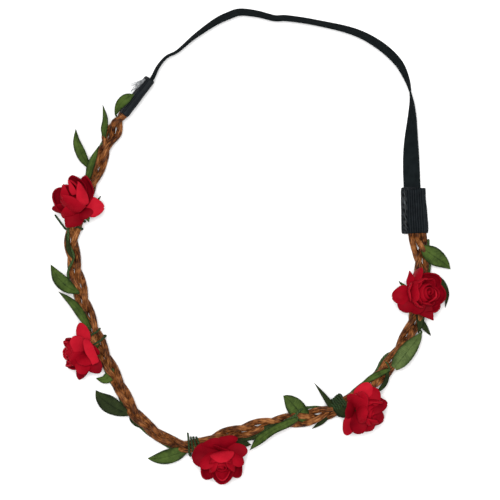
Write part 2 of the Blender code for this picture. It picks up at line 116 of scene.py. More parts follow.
# ---------------------------------------------------------------- meshes
def grid(points, wrap=False, caps=False, by_length=False):
    """A mesh part from points[rows][columns]: vertices, faces and UVs. by_length gives V in cm, or 0 to 1."""
    rows, cols = points.shape[:2]
    verts = points.reshape(-1, 3)
    faces, uvs = [], []
    last = cols if wrap else cols - 1
    run = np.concatenate([[0], np.cumsum(np.linalg.norm(np.diff(points.mean(1), axis=0), axis=1))])
    for i in range(rows - 1):
        for j in range(last):
            k = (j + 1) % cols
            faces.append((i * cols + j, i * cols + k, (i + 1) * cols + k, (i + 1) * cols + j))
            u0, u1 = j / last, (j + 1) / last
            if by_length:
                v0, v1 = run[i] / 0.01, run[i + 1] / 0.01
            else:
                v0, v1 = i / (rows - 1), (i + 1) / (rows - 1)
            uvs.append([(u0, v0), (u1, v0), (u1, v1), (u0, v1)])
    if caps:
        for ring in (range(cols), range((rows - 1) * cols, rows * cols)):
            ring = list(ring)
            faces.append(tuple(ring))
            uvs.append([(0.5, 0.5)] * cols)
    return verts, faces, uvs


def build(name, parts, mats, body, nodes=(), thickness=0.0, subsurf=1, rim=False):
    """One piece from its mesh parts. With rim, the second material covers the cut edge."""
    bm = bmesh.new()
    layer = bm.loops.layers.uv.new("UVMap")
    for verts, faces, uvs in parts:
        made = [bm.verts.new(tuple(v)) for v in verts]
        for face, uv in zip(faces, uvs):
            f = bm.faces.new([made[i] for i in face])
            f.smooth = True
            for loop, co in zip(f.loops, uv):
                loop[layer].uv = co
    if not thickness:
        bmesh.ops.recalc_face_normals(bm, faces=bm.faces)
    mesh = bpy.data.meshes.new(name)
    bm.to_mesh(mesh)
    bm.free()
    for mat in mats:
        mesh.materials.append(mat)
    obj = bpy.data.objects.new(name, mesh)
    bpy.context.scene.collection.objects.link(obj)
    if thickness:
        mod = obj.modifiers.new("thickness", "SOLIDIFY")
        mod.thickness = thickness
        mod.offset = 0
        if rim:
            mod.material_offset_rim = 1
    if subsurf:
        mod = obj.modifiers.new("smooth", "SUBSURF")
        mod.levels = mod.render_levels = subsurf
    if body:
        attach(obj, body)
    if nodes:
        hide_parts(*([nodes] if isinstance(nodes, str) else nodes))
    return obj


def tube_points(line, radius, sides=12, flat=1.0, twist=0.0, rough=0.0, seed=0):
    """Rings round a line; the frame is carried along so that it doesn't flip."""
    line = np.array(line, float)
    n = len(line)
    tangent = unit(np.gradient(line, axis=0))
    side = unit(np.cross(tangent[0], (0.1, 0.2, 1)))
    radius = np.broadcast_to(radius, (n,))
    angle = np.linspace(0, 2 * np.pi, sides, endpoint=False)
    run = 0.0
    out = np.zeros((n, sides, 3))
    for k in range(n):
        side = unit(side - tangent[k] * side.dot(tangent[k]))
        up = np.cross(tangent[k], side)
        if k:
            run += np.linalg.norm(line[k] - line[k - 1])
        a = angle + twist * run
        bumps = [noise.noise(Vector((run * 420, math.cos(x) * 1.3 + seed * 5, math.sin(x) * 1.3)))
                 for x in angle]
        r = radius[k] * (1 + rough * np.array(bumps))
        out[k] = line[k] + (np.cos(a) * r)[:, None] * side + (np.sin(a) * r * flat)[:, None] * up
    return out


# ---------------------------------------------------------------- materials
def new_material(name, colour, roughness, sheen=0.0, coat=0.0, spec=0.5):
    mat = bpy.data.materials.new(name)
    mat.use_nodes = True
    shader = mat.node_tree.nodes["Principled BSDF"]
    shader.inputs["Base Color"].default_value = (*colour, 1)
    shader.inputs["Roughness"].default_value = roughness
    shader.inputs["Specular IOR Level"].default_value = spec
    if sheen:
        shader.inputs["Sheen Weight"].default_value = sheen
        shader.inputs["Sheen Roughness"].default_value = 0.5
    if coat:
        shader.inputs["Coat Weight"].default_value = coat
        shader.inputs["Coat Roughness"].default_value = 0.2
    return mat, mat.node_tree, shader


def node(tree, kind, links=(), **values):
    made = tree.nodes.new(kind)
    for key, value in values.items():
        setattr(made, key, value)
    for socket, source in links:
        tree.links.new(source, made.inputs[socket])
    return made


def maths(tree, operation, a, b=None, clamp=False):
    made = tree.nodes.new("ShaderNodeMath")
    made.operation = operation
    made.use_clamp = clamp
    for slot, value in ((0, a), (1, b)):
        if value is None:
            continue
        if isinstance(value, (int, float)):
            made.inputs[slot].default_value = value
        else:
            tree.links.new(value, made.inputs[slot])
    return made.outputs[0]


def total(tree, *terms):
    """The sum of (value, share) pairs."""
    parts = [maths(tree, "MULTIPLY", value, share) for value, share in terms]
    out = parts[0]
    for part in parts[1:]:
        out = maths(tree, "ADD", out, part)
    return out


def ramp(tree, source, stops):
    made = tree.nodes.new("ShaderNodeValToRGB")
    elements = made.color_ramp.elements
    while len(elements) < len(stops):
        elements.new(0.5)
    for element, (place, colour) in zip(elements, stops):
        element.position = place
        element.color = (*colour, 1)
    tree.links.new(source, made.inputs[0])
    return made.outputs[0]


def bump(tree, shader, height, strength, distance):
    made = node(tree, "ShaderNodeBump", [("Height", height)])
    made.inputs["Strength"].default_value = strength
    made.inputs["Distance"].default_value = distance
    tree.links.new(made.outputs[0], shader.inputs["Normal"])


def stretched_uv(tree, scale):
    uv = node(tree, "ShaderNodeTexCoord")
    mapping = node(tree, "ShaderNodeMapping", [("Vector", uv.outputs["UV"])])
    mapping.inputs["Scale"].default_value = scale
    return mapping.outputs[0]


def noise_tex(tree, vector, scale, detail=3.0, rough=0.55):
    made = node(tree, "ShaderNodeTexNoise", [("Vector", vector)])
    made.inputs["Scale"].default_value = scale
    made.inputs["Detail"].default_value = detail
    made.inputs["Roughness"].default_value = rough
    return made.outputs["Fac"]


def object_noise(tree, scale, detail=3.0, rough=0.55):
    where = node(tree, "ShaderNodeTexCoord").outputs["Object"]
    return noise_tex(tree, where, scale, detail, rough)


def cord_material():
    """Waxed suede cord: fibres run along it. Its noise-driven colour runs from near-black streaks, painted
    shade standing in for the hollows between fibres, to orange streaks that are partly the cord's own colour
    and partly painted highlight.
    """
    mat, tree, shader = new_material("waxed_cord", (0.20, 0.07, 0.02), 0.6, spec=0.10)
    fibres = noise_tex(tree, stretched_uv(tree, (9, 1.3, 1)), 2.2, 5, 0.65)
    patches = object_noise(tree, 260, 3)
    grain = noise_tex(tree, stretched_uv(tree, (16, 5, 1)), 3.0, 4, 0.7)
    mix = total(tree, (fibres, 0.62), (patches, 0.38))
    # Low near-black stops paint shade for the hollows between fibres, scattered by the noise; the orange top
    # stop is partly the cord's own colour and partly painted highlight.
    colour = ramp(tree, mix, [(0.40, (0.012, 0.0035, 0.0012)), (0.47, (0.062, 0.018, 0.0046)),
        (0.535, (0.170, 0.055, 0.0128)), (0.63, (0.36, 0.15, 0.049))])
    tree.links.new(colour, shader.inputs["Base Color"])
    bump(tree, shader, total(tree, (fibres, 1.0), (grain, 0.5)), 0.55, 0.0003)
    return mat


def paper_material(name, dark, light):
    """Crinkled paper tape wound round a wire."""
    mat, tree, shader = new_material(name, light, 0.75, spec=0.06)
    crinkle = noise_tex(tree, stretched_uv(tree, (3, 5, 1)), 3.0, 4, 0.6)
    lay = node(tree, "ShaderNodeTexWave", [("Vector", stretched_uv(tree, (1, 3, 1)))],
               bands_direction="DIAGONAL")
    lay.inputs["Scale"].default_value = 1.6
    lay.inputs["Distortion"].default_value = 1.5
    mix = total(tree, (crinkle, 0.75), (lay.outputs["Fac"], 0.25))
    tree.links.new(ramp(tree, mix, [(0.28, dark), (0.68, light)]), shader.inputs["Base Color"])
    bump(tree, shader, mix, 0.5, 0.0002)
    return mat


def leaf_material(name, dark, light):
    """Dyed leaf cloth: a midrib, side veins running to the tip and a darker edge."""
    mat, tree, shader = new_material(name, light, 0.6, spec=0.06)
    uv = node(tree, "ShaderNodeTexCoord").outputs["UV"]
    split = node(tree, "ShaderNodeSeparateXYZ", [("Vector", uv)])
    across = maths(tree, "ABSOLUTE", maths(tree, "SUBTRACT", split.outputs[0], 0.5))
    slant = maths(tree, "SUBTRACT", split.outputs[1], maths(tree, "MULTIPLY", across, 0.55))
    wave = maths(tree, "SINE", maths(tree, "MULTIPLY", slant, 58.0))
    side_vein = maths(tree, "POWER", maths(tree, "ABSOLUTE", wave), 0.35)
    rib = maths(tree, "MULTIPLY", across, 26.0, clamp=True)
    veins = maths(tree, "MULTIPLY", side_vein, rib)
    cloth = object_noise(tree, 900, 3)
    blotch = object_noise(tree, 210, 2)
    edge = maths(tree, "POWER", maths(tree, "MULTIPLY", across, 2.0), 5.0)
    mix = total(tree, (blotch, 0.55), (cloth, 0.30), (veins, 0.20), (edge, -0.30))
    tree.links.new(ramp(tree, mix, [(0.38, dark), (0.68, light)]), shader.inputs["Base Color"])
    bump(tree, shader, total(tree, (veins, 0.8), (cloth, 0.3)), 0.45, 0.00025)
    return mat


def foam_material(name, low, high, rough=0.58):
    """Fine-celled foam sheet with a soft nap."""
    mat, tree, shader = new_material(name, high, rough, spec=0.02)
    cells = object_noise(tree, 4200, 2, 0.6)
    shade = object_noise(tree, 170, 3)
    mix = total(tree, (shade, 0.8), (cells, 0.2))
    tree.links.new(ramp(tree, mix, [(0.30, low), (0.70, high)]), shader.inputs["Base Color"])
    bump(tree, shader, cells, 0.22, 0.00012)
    return mat


def elastic_material():
    """Black braided elastic: fine lengthwise ribs crossed by small picks."""
    mat, tree, shader = new_material("elastic_weave", (0.005, 0.006, 0.007), 0.8, spec=0.03)
    uv = node(tree, "ShaderNodeTexCoord").outputs["UV"]
    split = node(tree, "ShaderNodeSeparateXYZ", [("Vector", uv)])
    ribs = maths(tree, "ABSOLUTE", maths(tree, "SINE", maths(tree, "MULTIPLY", split.outputs[0], 88.0)))
    picks = maths(tree, "ABSOLUTE", maths(tree, "SINE", maths(tree, "MULTIPLY", split.outputs[1], 62.0)))
    weave = total(tree, (ribs, 0.6), (picks, 0.4))
    mix = total(tree, (weave, 0.5), (object_noise(tree, 340, 4), 0.6))
    colour = ramp(tree, mix, [(0.30, (0.0012, 0.0022, 0.0026)), (0.75, (0.0085, 0.0115, 0.0125))])
    tree.links.new(colour, shader.inputs["Base Color"])
    bump(tree, shader, weave, 0.6, 0.00018)
    return mat


def ribbon_material():
    """Black grosgrain ribbon."""
    mat, tree, shader = new_material("grosgrain", (0.008, 0.010, 0.012), 0.55, spec=0.08)
    thread = noise_tex(tree, stretched_uv(tree, (30, 60, 1)), 2.0, 3, 0.6)
    mix = total(tree, (thread, 0.6), (object_noise(tree, 500, 4), 0.4))
    colour = ramp(tree, mix, [(0.34, (0.0010, 0.0018, 0.0028)), (0.70, (0.0100, 0.0135, 0.0165))])
    tree.links.new(colour, shader.inputs["Base Color"])
    bump(tree, shader, thread, 0.35, 0.00015)
    return mat


def glue_material():
    """Dried glue soaked into black cloth: glossy and uneven."""
    mat, tree, shader = new_material("dried_glue", (0.006, 0.008, 0.010), 0.42, coat=0.02, spec=0.10)
    slant = node(tree, "ShaderNodeTexWave", [("Vector", stretched_uv(tree, (1, 3.5, 1)))],
                 bands_direction="DIAGONAL")
    slant.inputs["Scale"].default_value = 1.3
    slant.inputs["Distortion"].default_value = 6.0
    slant.inputs["Detail"].default_value = 3.0
    lumps = slant.outputs["Fac"]
    tree.links.new(ramp(tree, lumps, [(0.55, (0.0010, 0.0014, 0.0020)), (0.97, (0.0170, 0.0210, 0.0250))]),
                   shader.inputs["Base Color"])
    bump(tree, shader, lumps, 0.5, 0.0004)
    return mat


def thread_material():
    mat, tree, shader = new_material("frayed_thread", (0.16, 0.17, 0.18), 0.6, sheen=0.2, spec=0.3)
    shade = object_noise(tree, 800, 2)
    tree.links.new(ramp(tree, shade, [(0.3, (0.05, 0.055, 0.06)), (0.7, (0.28, 0.29, 0.30))]),
                   shader.inputs["Base Color"])
    return mat


CORD = cord_material()
VINE = paper_material("vine_paper", (0.012, 0.024, 0.008), (0.050, 0.085, 0.026))
WIRE = paper_material("wire_paper", (0.006, 0.013, 0.005), (0.030, 0.055, 0.020))
LEAF = leaf_material("leaf_mid", (0.0085, 0.0185, 0.0030), (0.056, 0.092, 0.0165))
# Darker copy of the leaf cloth: painted shade for leaves lying under, behind or between other parts.
LEAF_PAINTED_SHADE = leaf_material("leaf_painted_shade", (0.0045, 0.0085, 0.0020), (0.0215, 0.0330, 0.0085))
# Lighter copy of the leaf cloth: painted light on the large leaf lying over the plait.
LEAF_PAINTED_LIT = leaf_material("leaf_painted_lit", (0.020, 0.036, 0.008), (0.086, 0.124, 0.036))
FOAM = foam_material("red_foam", (0.19, 0.0012, 0.0060), (0.29, 0.0030, 0.0110))
# Brighter copy of the red foam: painted light for petals that face the overhead lamp.
FOAM_PAINTED_LIT = foam_material("red_foam_painted_lit", (0.30, 0.0040, 0.0130), (0.42, 0.0085, 0.0200))
# Darker copy of the red foam: painted shade for steep petals and those in the rose's shadowed hollows.
FOAM_PAINTED_SHADE = foam_material("red_foam_painted_shade", (0.115, 0.0008, 0.0042), (0.20, 0.0016, 0.0070))
# Cut-edge foam for petal rims: lighter partly as the cut foam's own colour and partly as painted highlight on
# rims that catch the light.
FOAM_CUT_AND_HIGHLIGHT = foam_material("red_foam_cut_and_highlight", (0.25, 0.0030, 0.0100), (0.35, 0.0090, 0.0190), 0.7)
# Foam copies by index: 0 plain, 1 painted shade, 2 painted light.
FOAMS = {0: FOAM, 1: FOAM_PAINTED_SHADE, 2: FOAM_PAINTED_LIT}
ELASTIC = elastic_material()
RIBBON = ribbon_material()
GLUE = glue_material()
THREAD = thread_material()

# ---------------------------------------------------------------- the plait's route, as in the CAD
GAP = 0.0003
CORD_RADIUS = 0.00115
CORD_SPACING = 2 * CORD_RADIUS + GAP + 0.0001
PLAIT_SWING = 0.778 * CORD_SPACING
PLAIT_RISE = 0.852 * CORD_SPACING
PLAIT_PITCH = 0.040
CORD_LOOK_RADIUS, CORD_FLAT = 0.00137, 0.92
CORD_HOLD = 0.00128
FARTHEST = 0.008
VINE_RADIUS = 0.00062
WIRE_RADIUS = 0.0005
CUFF_LENGTH, CUFF_WIDTH, CUFF_HEIGHT = 0.020, 0.0115, 0.0047
CUFF_ROLL = math.radians(-72)
H, LEFT_Z, RIGHT_Z, LOW_Z = 6.5, 6.345, 2.35, 2.956
PLAIT_ROUTE = [
    (-49.9, 66.2, LEFT_Z), (-56.5, 57.4, LEFT_Z), (-61.1, 49.3, H), (-68.1, 32.4, H),
    (-75.9, 14.3, H), (-78.3, 0.8, H), (-75.2, -16.5, H), (-71.1, -30.6, H), (-65.3, -44.7, H),
    (-58.3, -58.7, H), (-50.6, -72.7, H), (-38.6, -83.2, H), (-26, -87.2, H), (-9.2, -81.8, H),
    (6.8, -77.9, H), (20.9, -75.5, H), (34.8, -71.9, H), (49.1, -63.1, H), (60.5, -52.1, H),
    (70, -36.9, H), (73.9, -23.1, H), (75, -9.0, 0.94 * H), (73.8, 2.5, LOW_Z),
    (72.8, 9.0, RIGHT_Z), (71.9, 16.1, RIGHT_Z),
]
VINE_TURNS = [
    (0.034, -90), (0.080, -50), (0.150, -55), (0.198, 60), (0.220, 100), (0.243, 20), (0.262, -50),
    (0.575, -55),
    (0.622, 60), (0.650, 110), (0.676, 200), (0.700, 240), (0.775, 235), (0.800, 200), (0.820, 270),
    (0.850, 300),
    (0.900, 310), (0.940, 335), (0.964, 350),
]
plait = Route(spline(np.array(PLAIT_ROUTE) * MM, 24 * 12 + 1))
SIDE_BY_SIDE = CUFF_LENGTH / 2 + 0.0025
BRAIDED = plait.length - 2 * SIDE_BY_SIDE
CROSSINGS = round(3 * BRAIDED / PLAIT_PITCH)
TUCK = 0.0065


def cord_phase(index, s):
    return math.radians(60) + 2 * np.pi * (CROSSINGS * (s - SIDE_BY_SIDE) / BRAIDED + index) / 3


def row_order(s):
    order = sorted(range(3), key=lambda i: math.sin(cord_phase(i, s)))
    return {index: place - 1 for place, index in enumerate(order)}


LEFT_ROW, RIGHT_ROW = row_order(SIDE_BY_SIDE), row_order(plait.length - SIDE_BY_SIDE)


# How loosely the plait is drawn along its length: fraction and share of the usual swing.
LOOSE = [(0.0, 1.0), (0.32, 1.0), (0.40, 0.84), (0.45, 0.72), (0.52, 0.76), (0.57, 0.95), (0.62, 1.12),
        (0.69, 1.1),
         (0.708, 0.74), (0.724, 0.74), (0.75, 0.95), (0.80, 1.0), (1.0, 1.0)]


def cord_line(index, s):
    centre, _, outward, up = plait.frame(s)
    phase = cord_phase(index, s)
    near_end = np.minimum(s, plait.length - s)
    mix = ease((near_end - SIDE_BY_SIDE) / 0.006)
    row = np.where(s < plait.length / 2, LEFT_ROW[index], RIGHT_ROW[index])
    loose = np.interp(s / plait.length, [f for f, _ in LOOSE], [share for _, share in LOOSE])
    side = PLAIT_SWING * loose * np.sin(phase) * mix + row * CORD_SPACING * (1 - mix)
    settle = ease((near_end - SIDE_BY_SIDE + 0.003) / 0.006)
    rise = -PLAIT_RISE * (1.3 - 0.3 * loose) * np.sin(2 * phase) * settle
    roll = CUFF_ROLL * (1 - ease((s - SIDE_BY_SIDE) / 0.022))
    return (centre + outward * (side * np.cos(roll) - rise * np.sin(roll))[:, None]
            + up * (side * np.sin(roll) + rise * np.cos(roll))[:, None])


def round_plait(s, angle, radius):
    centre, _, outward, up = plait.frame(s)
    a = np.radians(angle)[..., None]
    return centre + np.asarray(radius)[..., None] * (outward * np.cos(a) + up * np.sin(a))


# ---------------------------------------------------------------- cords
stations = np.arange(CUFF_LENGTH / 2 - TUCK, plait.length - CUFF_LENGTH / 2 + TUCK, 0.0008)
cord_lines = []
for index, letter in enumerate("abc"):
    line = cord_line(index, stations)
    cord_lines.append(line)
    rings = tube_points(line, CORD_LOOK_RADIUS, 16, CORD_FLAT, 60, 0.10, index)
    build("waxed_cord_" + letter, [grid(rings, True, True, True)], [CORD], ROOT, "cord_" + letter)


def hug(s, angle, points, gaps):
    """Tightest ring round the plait at each place that has the points inside it, each with its gap."""
    out = []
    for s0, a0 in zip(s, angle):
        centre, _, outward, up = plait.frame(s0)
        a = math.radians(a0)
        ray = outward * math.cos(a) + up * math.sin(a)
        d = points - centre
        reach = d @ ray
        miss = (d * d).sum(1) - reach ** 2
        hit = (miss < gaps ** 2) & (reach < FARTHEST)
        out.append(max(0.0015, (reach[hit] + np.sqrt(gaps[hit] ** 2 - miss[hit])).max() if hit.any() else 0))
    return np.array(out)


def smooth_max(values, wide=3):
    """Each value no less than its neighbours', then softened."""
    n = len(values)
    top = np.array([values[max(0, i - wide):i + wide + 1].max() for i in range(n)])
    return np.array([top[max(0, i - wide):i + wide + 1].mean() for i in range(n)])


# ---------------------------------------------------------------- vine stem
fractions = np.arange(VINE_TURNS[0][0], VINE_TURNS[-1][0], 0.0009 / plait.length)
turn_at = np.array([f for f, _ in VINE_TURNS])
turn_to = np.array([a for _, a in VINE_TURNS], float)


def vine_angle(f):
    i = np.clip(np.searchsorted(turn_at, f) - 1, 0, len(turn_at) - 2)
    t = ease((f - turn_at[i]) / (turn_at[i + 1] - turn_at[i]))
    return turn_to[i] + (turn_to[i + 1] - turn_to[i]) * t


cord_cloud = np.vstack(cord_lines)
vine_s = fractions * plait.length
vine_gap = np.full(len(cord_cloud), CORD_HOLD + 0.00055)
vine_ring = smooth_max(hug(vine_s, vine_angle(fractions), cord_cloud, vine_gap))
vine_line = round_plait(vine_s, vine_angle(fractions), vine_ring)
vine_rings = tube_points(wobble(vine_line, 90, 0.0003, 4), VINE_RADIUS, 8, 1.0, 0, 0.22, 9)
build("vine_stem_look", [grid(vine_rings, True, True, True)], [VINE], ROOT, "vine_stem")


# ---------------------------------------------------------------- leaves
def leaf(name, node_name, rows, mat, fold, seed):
    """A leaf from rows of x, y, z, half-width (mm) and roll (deg) from its base to its tip."""
    count, cols = 22, 11
    p = spline(rows, count, True)
    spine = p[:, :3] * MM
    half = np.maximum(p[:, 3], 0.05) * MM
    v = np.linspace(0, 1, count)
    roll = np.radians(p[:, 4])
    along = unit(np.gradient(spine, axis=0))
    across = unit(np.cross(along, (0, 0, 1)))
    up = np.cross(across, along)
    side = across * np.cos(roll)[:, None] + up * np.sin(roll)[:, None]
    lift = up * np.cos(roll)[:, None] - across * np.sin(roll)[:, None]
    u = np.linspace(-1, 1, cols)
    ripple = np.sin(v * 17 + seed)[:, None] * u[None] ** 2 * 0.10
    rise = fold * (np.abs(u)[None] ** 1.4) * np.ones((count, 1)) + ripple
    points = (spine[:, None] + side[:, None] * (half[:, None] * u[None])[..., None]
              + lift[:, None] * (half[:, None] * rise)[..., None])
    build(name, [grid(points)], [mat], ROOT, node_name, thickness=0.00035)


# Each leaf's cloth: LEAF plain, the darker leaf copy with painted shade, the lighter leaf copy with painted
# light.
LEAVES = [
    ("leaf_cuff", "vine_leaf_01_cuff", LEAF, 0.25,
     [(-59.0, 58.4, 9.5, 0.5, 0), (-57.8, 61.4, 12.6, 1.6, -5), (-56.0, 63.7, 14.0, 2.2, -5),
      (-53.6, 65.5, 14.4, 2.0, -5), (-50.6, 66.9, 14.2, 0, 0)]),
    ("leaf_by_cuff", "vine_leaf_02", LEAF, 0.35,
     [(-64.2, 47.4, 7.5, 0.6, 30), (-63.8, 51.0, 9.5, 1.7, 35), (-63.3, 54.8, 10.5, 1.75, 40),
      (-63.6, 58.6, 11.0, 1.1, 42), (-64.7, 62.4, 11.0, 0, 40)]),
    ("leaf_under", "vine_leaf_03_under", LEAF_PAINTED_SHADE, 0.2,
     [(-58.6, 56.0, 4.5, 0.4, 0), (-57.3, 53.4, 4.2, 1.1, 10), (-57.9, 50.6, 3.8, 1.2, 10),
      (-59.8, 47.8, 3.4, 0, 0)]),
    ("leaf_outer_1", "vine_leaf_04", LEAF, 0.35,
     [(-70.4, 34.9, 7.0, 0.7, 15), (-73.2, 39.4, 8.4, 2.2, 18), (-75.0, 43.8, 9.6, 2.3, 22),
      (-76.1, 47.8, 10.2, 1.4, 25), (-76.5, 52.0, 10.4, 0, 25)]),
    ("leaf_along", "vine_leaf_05", LEAF, 0.4,
     [(-71.4, 29.0, 10.0, 0.9, 20), (-70.2, 33.4, 11.3, 1.8, 25), (-68.5, 38.6, 12.3, 1.7, 30),
      (-66.4, 44.4, 12.0, 0, 30)]),
    ("leaf_broad", "vine_leaf_06_broad", LEAF, 0.18,
     [(-75.2, -19.8, 9.0, 0.6, 0), (-78.8, -18.0, 10.4, 2.4, -5), (-81.7, -15.9, 10.6, 3.1, -5),
      (-84.6, -12.7, 10.0, 2.6, -5), (-87.6, -7.3, 9.0, 0, 0)]),
    ("leaf_long", "vine_leaf_07", LEAF, 0.3,
     [(-70.4, -35.6, 9.0, 0.9, 10), (-72.9, -31.0, 10.5, 1.9, 15), (-76.2, -26.0, 11.2, 2.1, 20),
      (-79.8, -22.4, 11.2, 1.4, 25), (-84.1, -19.4, 10.6, 0, 25)]),
    ("leaf_small", "vine_leaf_08_small", LEAF, 0.15,
     [(-60.2, -53.6, 7.5, 0.8, 0), (-61.8, -56.4, 6.6, 2.2, 0), (-64.2, -58.0, 5.6, 1.8, 0),
      (-68.0, -57.4, 4.6, 0, 0)]),
    ("leaf_wide", "vine_leaf_09_wide", LEAF_PAINTED_SHADE, 0.15,
     [(-52.6, -73.4, 6.0, 0.6, 0), (-57.4, -71.4, 5.4, 2.9, 0), (-62.3, -68.6, 4.6, 3.9, 0),
      (-65.9, -65.7, 4.0, 2.4, 0), (-68.0, -62.6, 3.6, 0, 0)]),
    ("leaf_front", "vine_leaf_10", LEAF, 0.2,
     [(-26.9, -88.4, 6.0, 0.7, 0), (-31.9, -90.4, 6.0, 2.9, 0), (-37.0, -91.9, 5.8, 3.2, 0),
      (-41.4, -92.6, 5.2, 2.0, 0), (-45.2, -92.6, 4.6, 0, 0)]),
    ("leaf_inside", "vine_leaf_11_inside", LEAF, 0.12,
     [(25.6, -77.0, 6.5, 0.9, 0), (22.4, -73.2, 7.4, 3.5, 0), (19.2, -69.4, 8.0, 3.9, 0),
      (16.4, -66.4, 8.2, 2.2, 0), (14.3, -64.9, 8.2, 0, 0)]),
    ("leaf_over", "vine_leaf_12_over", LEAF, 0.3,
     [(20.4, -75.2, 10.6, 0.9, 0), (15.2, -77.4, 11.8, 1.8, 0), (9.6, -80.2, 11.6, 1.7, -5),
      (4.2, -84.0, 9.6, 2.0, -5), (-0.4, -89.0, 7.2, 0, 0)]),
    ("leaf_spike", "vine_leaf_13_spike", LEAF_PAINTED_SHADE, 0.3,
     [(37.0, -71.4, 9.0, 0.7, 20), (34.6, -68.0, 10.2, 1.5, 25), (31.6, -63.8, 11.0, 1.0, 30),
      (27.8, -59.2, 11.4, 0, 30)]),
    ("leaf_on_plait", "vine_leaf_14", LEAF, 0.3,
     [(60.9, -53.4, 10.4, 0.6, 0), (57.2, -54.9, 11.6, 1.3, 5), (52.6, -57.2, 11.4, 1.3, 5),
      (47.3, -60.8, 10.2, 0, 5)]),
    ("leaf_large", "vine_leaf_15_over", LEAF_PAINTED_LIT, 0.12,
     [(74.9, -37.2, 8.6, 0.3, 0), (73.1, -39.9, 10.4, 1.9, -4), (69.4, -44.5, 12.0, 3.5, -4),
      (65.6, -49.3, 12.2, 3.5, -2), (62.8, -52.7, 11.8, 1.7, 0)]),
    ("leaf_little", "vine_leaf_16", LEAF_PAINTED_SHADE, 0.25,
     [(74.0, -30.2, 6.0, 0.4, 0), (75.4, -33.2, 5.4, 1.3, 0), (77.2, -36.0, 4.8, 1.1, 0),
      (79.3, -38.9, 4.2, 0, 0)]),
    ("leaf_top_right", "vine_leaf_17_broad", LEAF, 0.14,
     [(75.0, 0.6, 6.4, 0.8, 0), (78.2, -2.2, 7.6, 3.5, 4), (81.6, -4.6, 8.0, 3.8, 4),
      (84.9, -6.9, 7.6, 2.4, 4), (87.8, -9.6, 7.0, 0, 4)]),
    ("leaf_behind_rose", "vine_leaf_18", LEAF_PAINTED_SHADE, 0.3,
     [(78.4, -11.6, 6.6, 0.5, 20), (83.4, -15.0, 6.8, 1.6, 25), (85.9, -20.4, 6.0, 1.3, 30),
      (85.6, -26.4, 5.0, 0, 30)]),
]
# The leaves, each with a stalk that joins it to the nearest place on the vine.
STALK_RADIUS = 0.00042
stalks = []
for number, (name, node_name, mat, fold, rows) in enumerate(LEAVES):
    leaf(name, node_name, rows, mat, fold, seed=number * 1.3)
    first_point, next_point = np.array(rows[0][:3]) * MM, np.array(rows[1][:3]) * MM
    joined = vine_line[np.argmin(np.linalg.norm(vine_line - first_point, axis=1))]
    inside = first_point + (next_point - first_point) * 0.35
    bend = (joined + first_point) / 2 + (first_point - next_point) * 0.15
    line = spline([joined, bend, first_point, inside], 16)
    rings = tube_points(wobble(line, 200, 0.0002, number), STALK_RADIUS, 8, 1.0, 0, 0.2, number)
    stalks.append(grid(rings, True, True, True))
build("leaf_stalks", stalks, [VINE], ROOT)

# Folded leaves caught between the cords, all in the darker leaf copy with painted shade.
CAUGHT = [
    ("dark_crescent", LEAF_PAINTED_SHADE, [(-52.8, -72.4, 5.0, 0.3, 0), (-52.0, -75.4, 4.6, 1.1, 0),
        (-49.2, -77.9, 4.6, 1.1, 0),
        (-45.2, -79.2, 4.8, 0, 0)]),
    ("dark_tip", LEAF_PAINTED_SHADE, [(33.4, -74.4, 5.6, 1.2, 0), (30.8, -76.9, 5.0, 1.1, 0),
        (26.8, -79.8, 4.4, 0, 0)]),
    ("dark_under_rose", LEAF_PAINTED_SHADE, [(-9.6, -80.4, 5.0, 1.2, 0), (-6.0, -83.6, 4.4, 2.2, 0),
        (-2.4, -86.0, 4.0, 1.6, 0),
        (0.4, -86.6, 4.0, 0, 0)]),
    ("dark_in_plait", LEAF_PAINTED_SHADE, [(-3.4, -84.2, 6.4, 1.0, 0), (3.0, -82.0, 7.6, 2.0, 5),
        (8.6, -79.6, 8.4, 2.2, 5),
        (15.0, -77.6, 9.4, 1.2, 0)]),
    ("leaf_band", LEAF_PAINTED_SHADE, [(59.9, -54.4, 10.4, 0.6, 0), (59.6, -57.8, 10.8, 1.0, 0),
        (57.6, -61.2, 10.4, 1.0, 0),
        (54.4, -64.2, 9.2, 0, 0)]),
    ("dark_below_rose", LEAF_PAINTED_SHADE, [(73.0, -22.0, 8.0, 1.2, 0), (74.2, -27.0, 8.6, 2.0, 0),
        (74.4, -32.6, 8.4, 1.6, 0),
        (73.6, -37.6, 8.0, 0.2, 0)]),
    ("clump_by_rose", LEAF_PAINTED_SHADE, [(37.0, -69.0, 10.2, 1.0, 0), (38.4, -70.8, 11.0, 2.1, 8),
        (40.6, -72.2, 11.2, 2.4, -8),
        (43.2, -73.2, 10.0, 1.4, 0)]),
    ("strand_on_plait", LEAF_PAINTED_SHADE, [(-80.6, 6.2, 8.6, 0.4, 0), (-79.9, 2.0, 10.0, 0.9, 0),
        (-79.4, -1.6, 10.6, 1.0, 0),
        (-77.4, -5.6, 10.6, 0, 0)]),
]
for number, (name, mat, rows) in enumerate(CAUGHT):
    leaf(name, (), rows, mat, 0.2, seed=number * 2.1)

# ---------------------------------------------------------------- rose wires
# Fraction along, angle, run, turns, pitch, tail (along, outward, up) in mm.
WRAPS = {
    "rose_1": (0.158, 107, 4.0, 1.6, 4.2, (-6.0, 6.2, -1.0)),
    "rose_2": (0.340, 40, -2.0, 1.2, -4.0, (-1.0, -2.2, 0.5)),
    "rose_3": (0.554, 52, -8.6, 3.2, -1.5, (-0.6, -4.6, 0.6)),
    "rose_4": (0.726, 60, -1.5, 5.6, -1.15, (-2.2, -2.3, 1.0)),
    "rose_5": (0.893, 118, -5.0, 1.6, -1.4, (0.1, -1.4, -0.6)),
}
# Loosely wound wires: how far they stray and how far out they stand (m).
MESSY = {"rose_4": (0.0010, 0.0003)}
# Degrees each rose leans from upright.
LEAN = {"rose_1": 45, "rose_2": 76, "rose_3": 60, "rose_4": 58, "rose_5": 32}


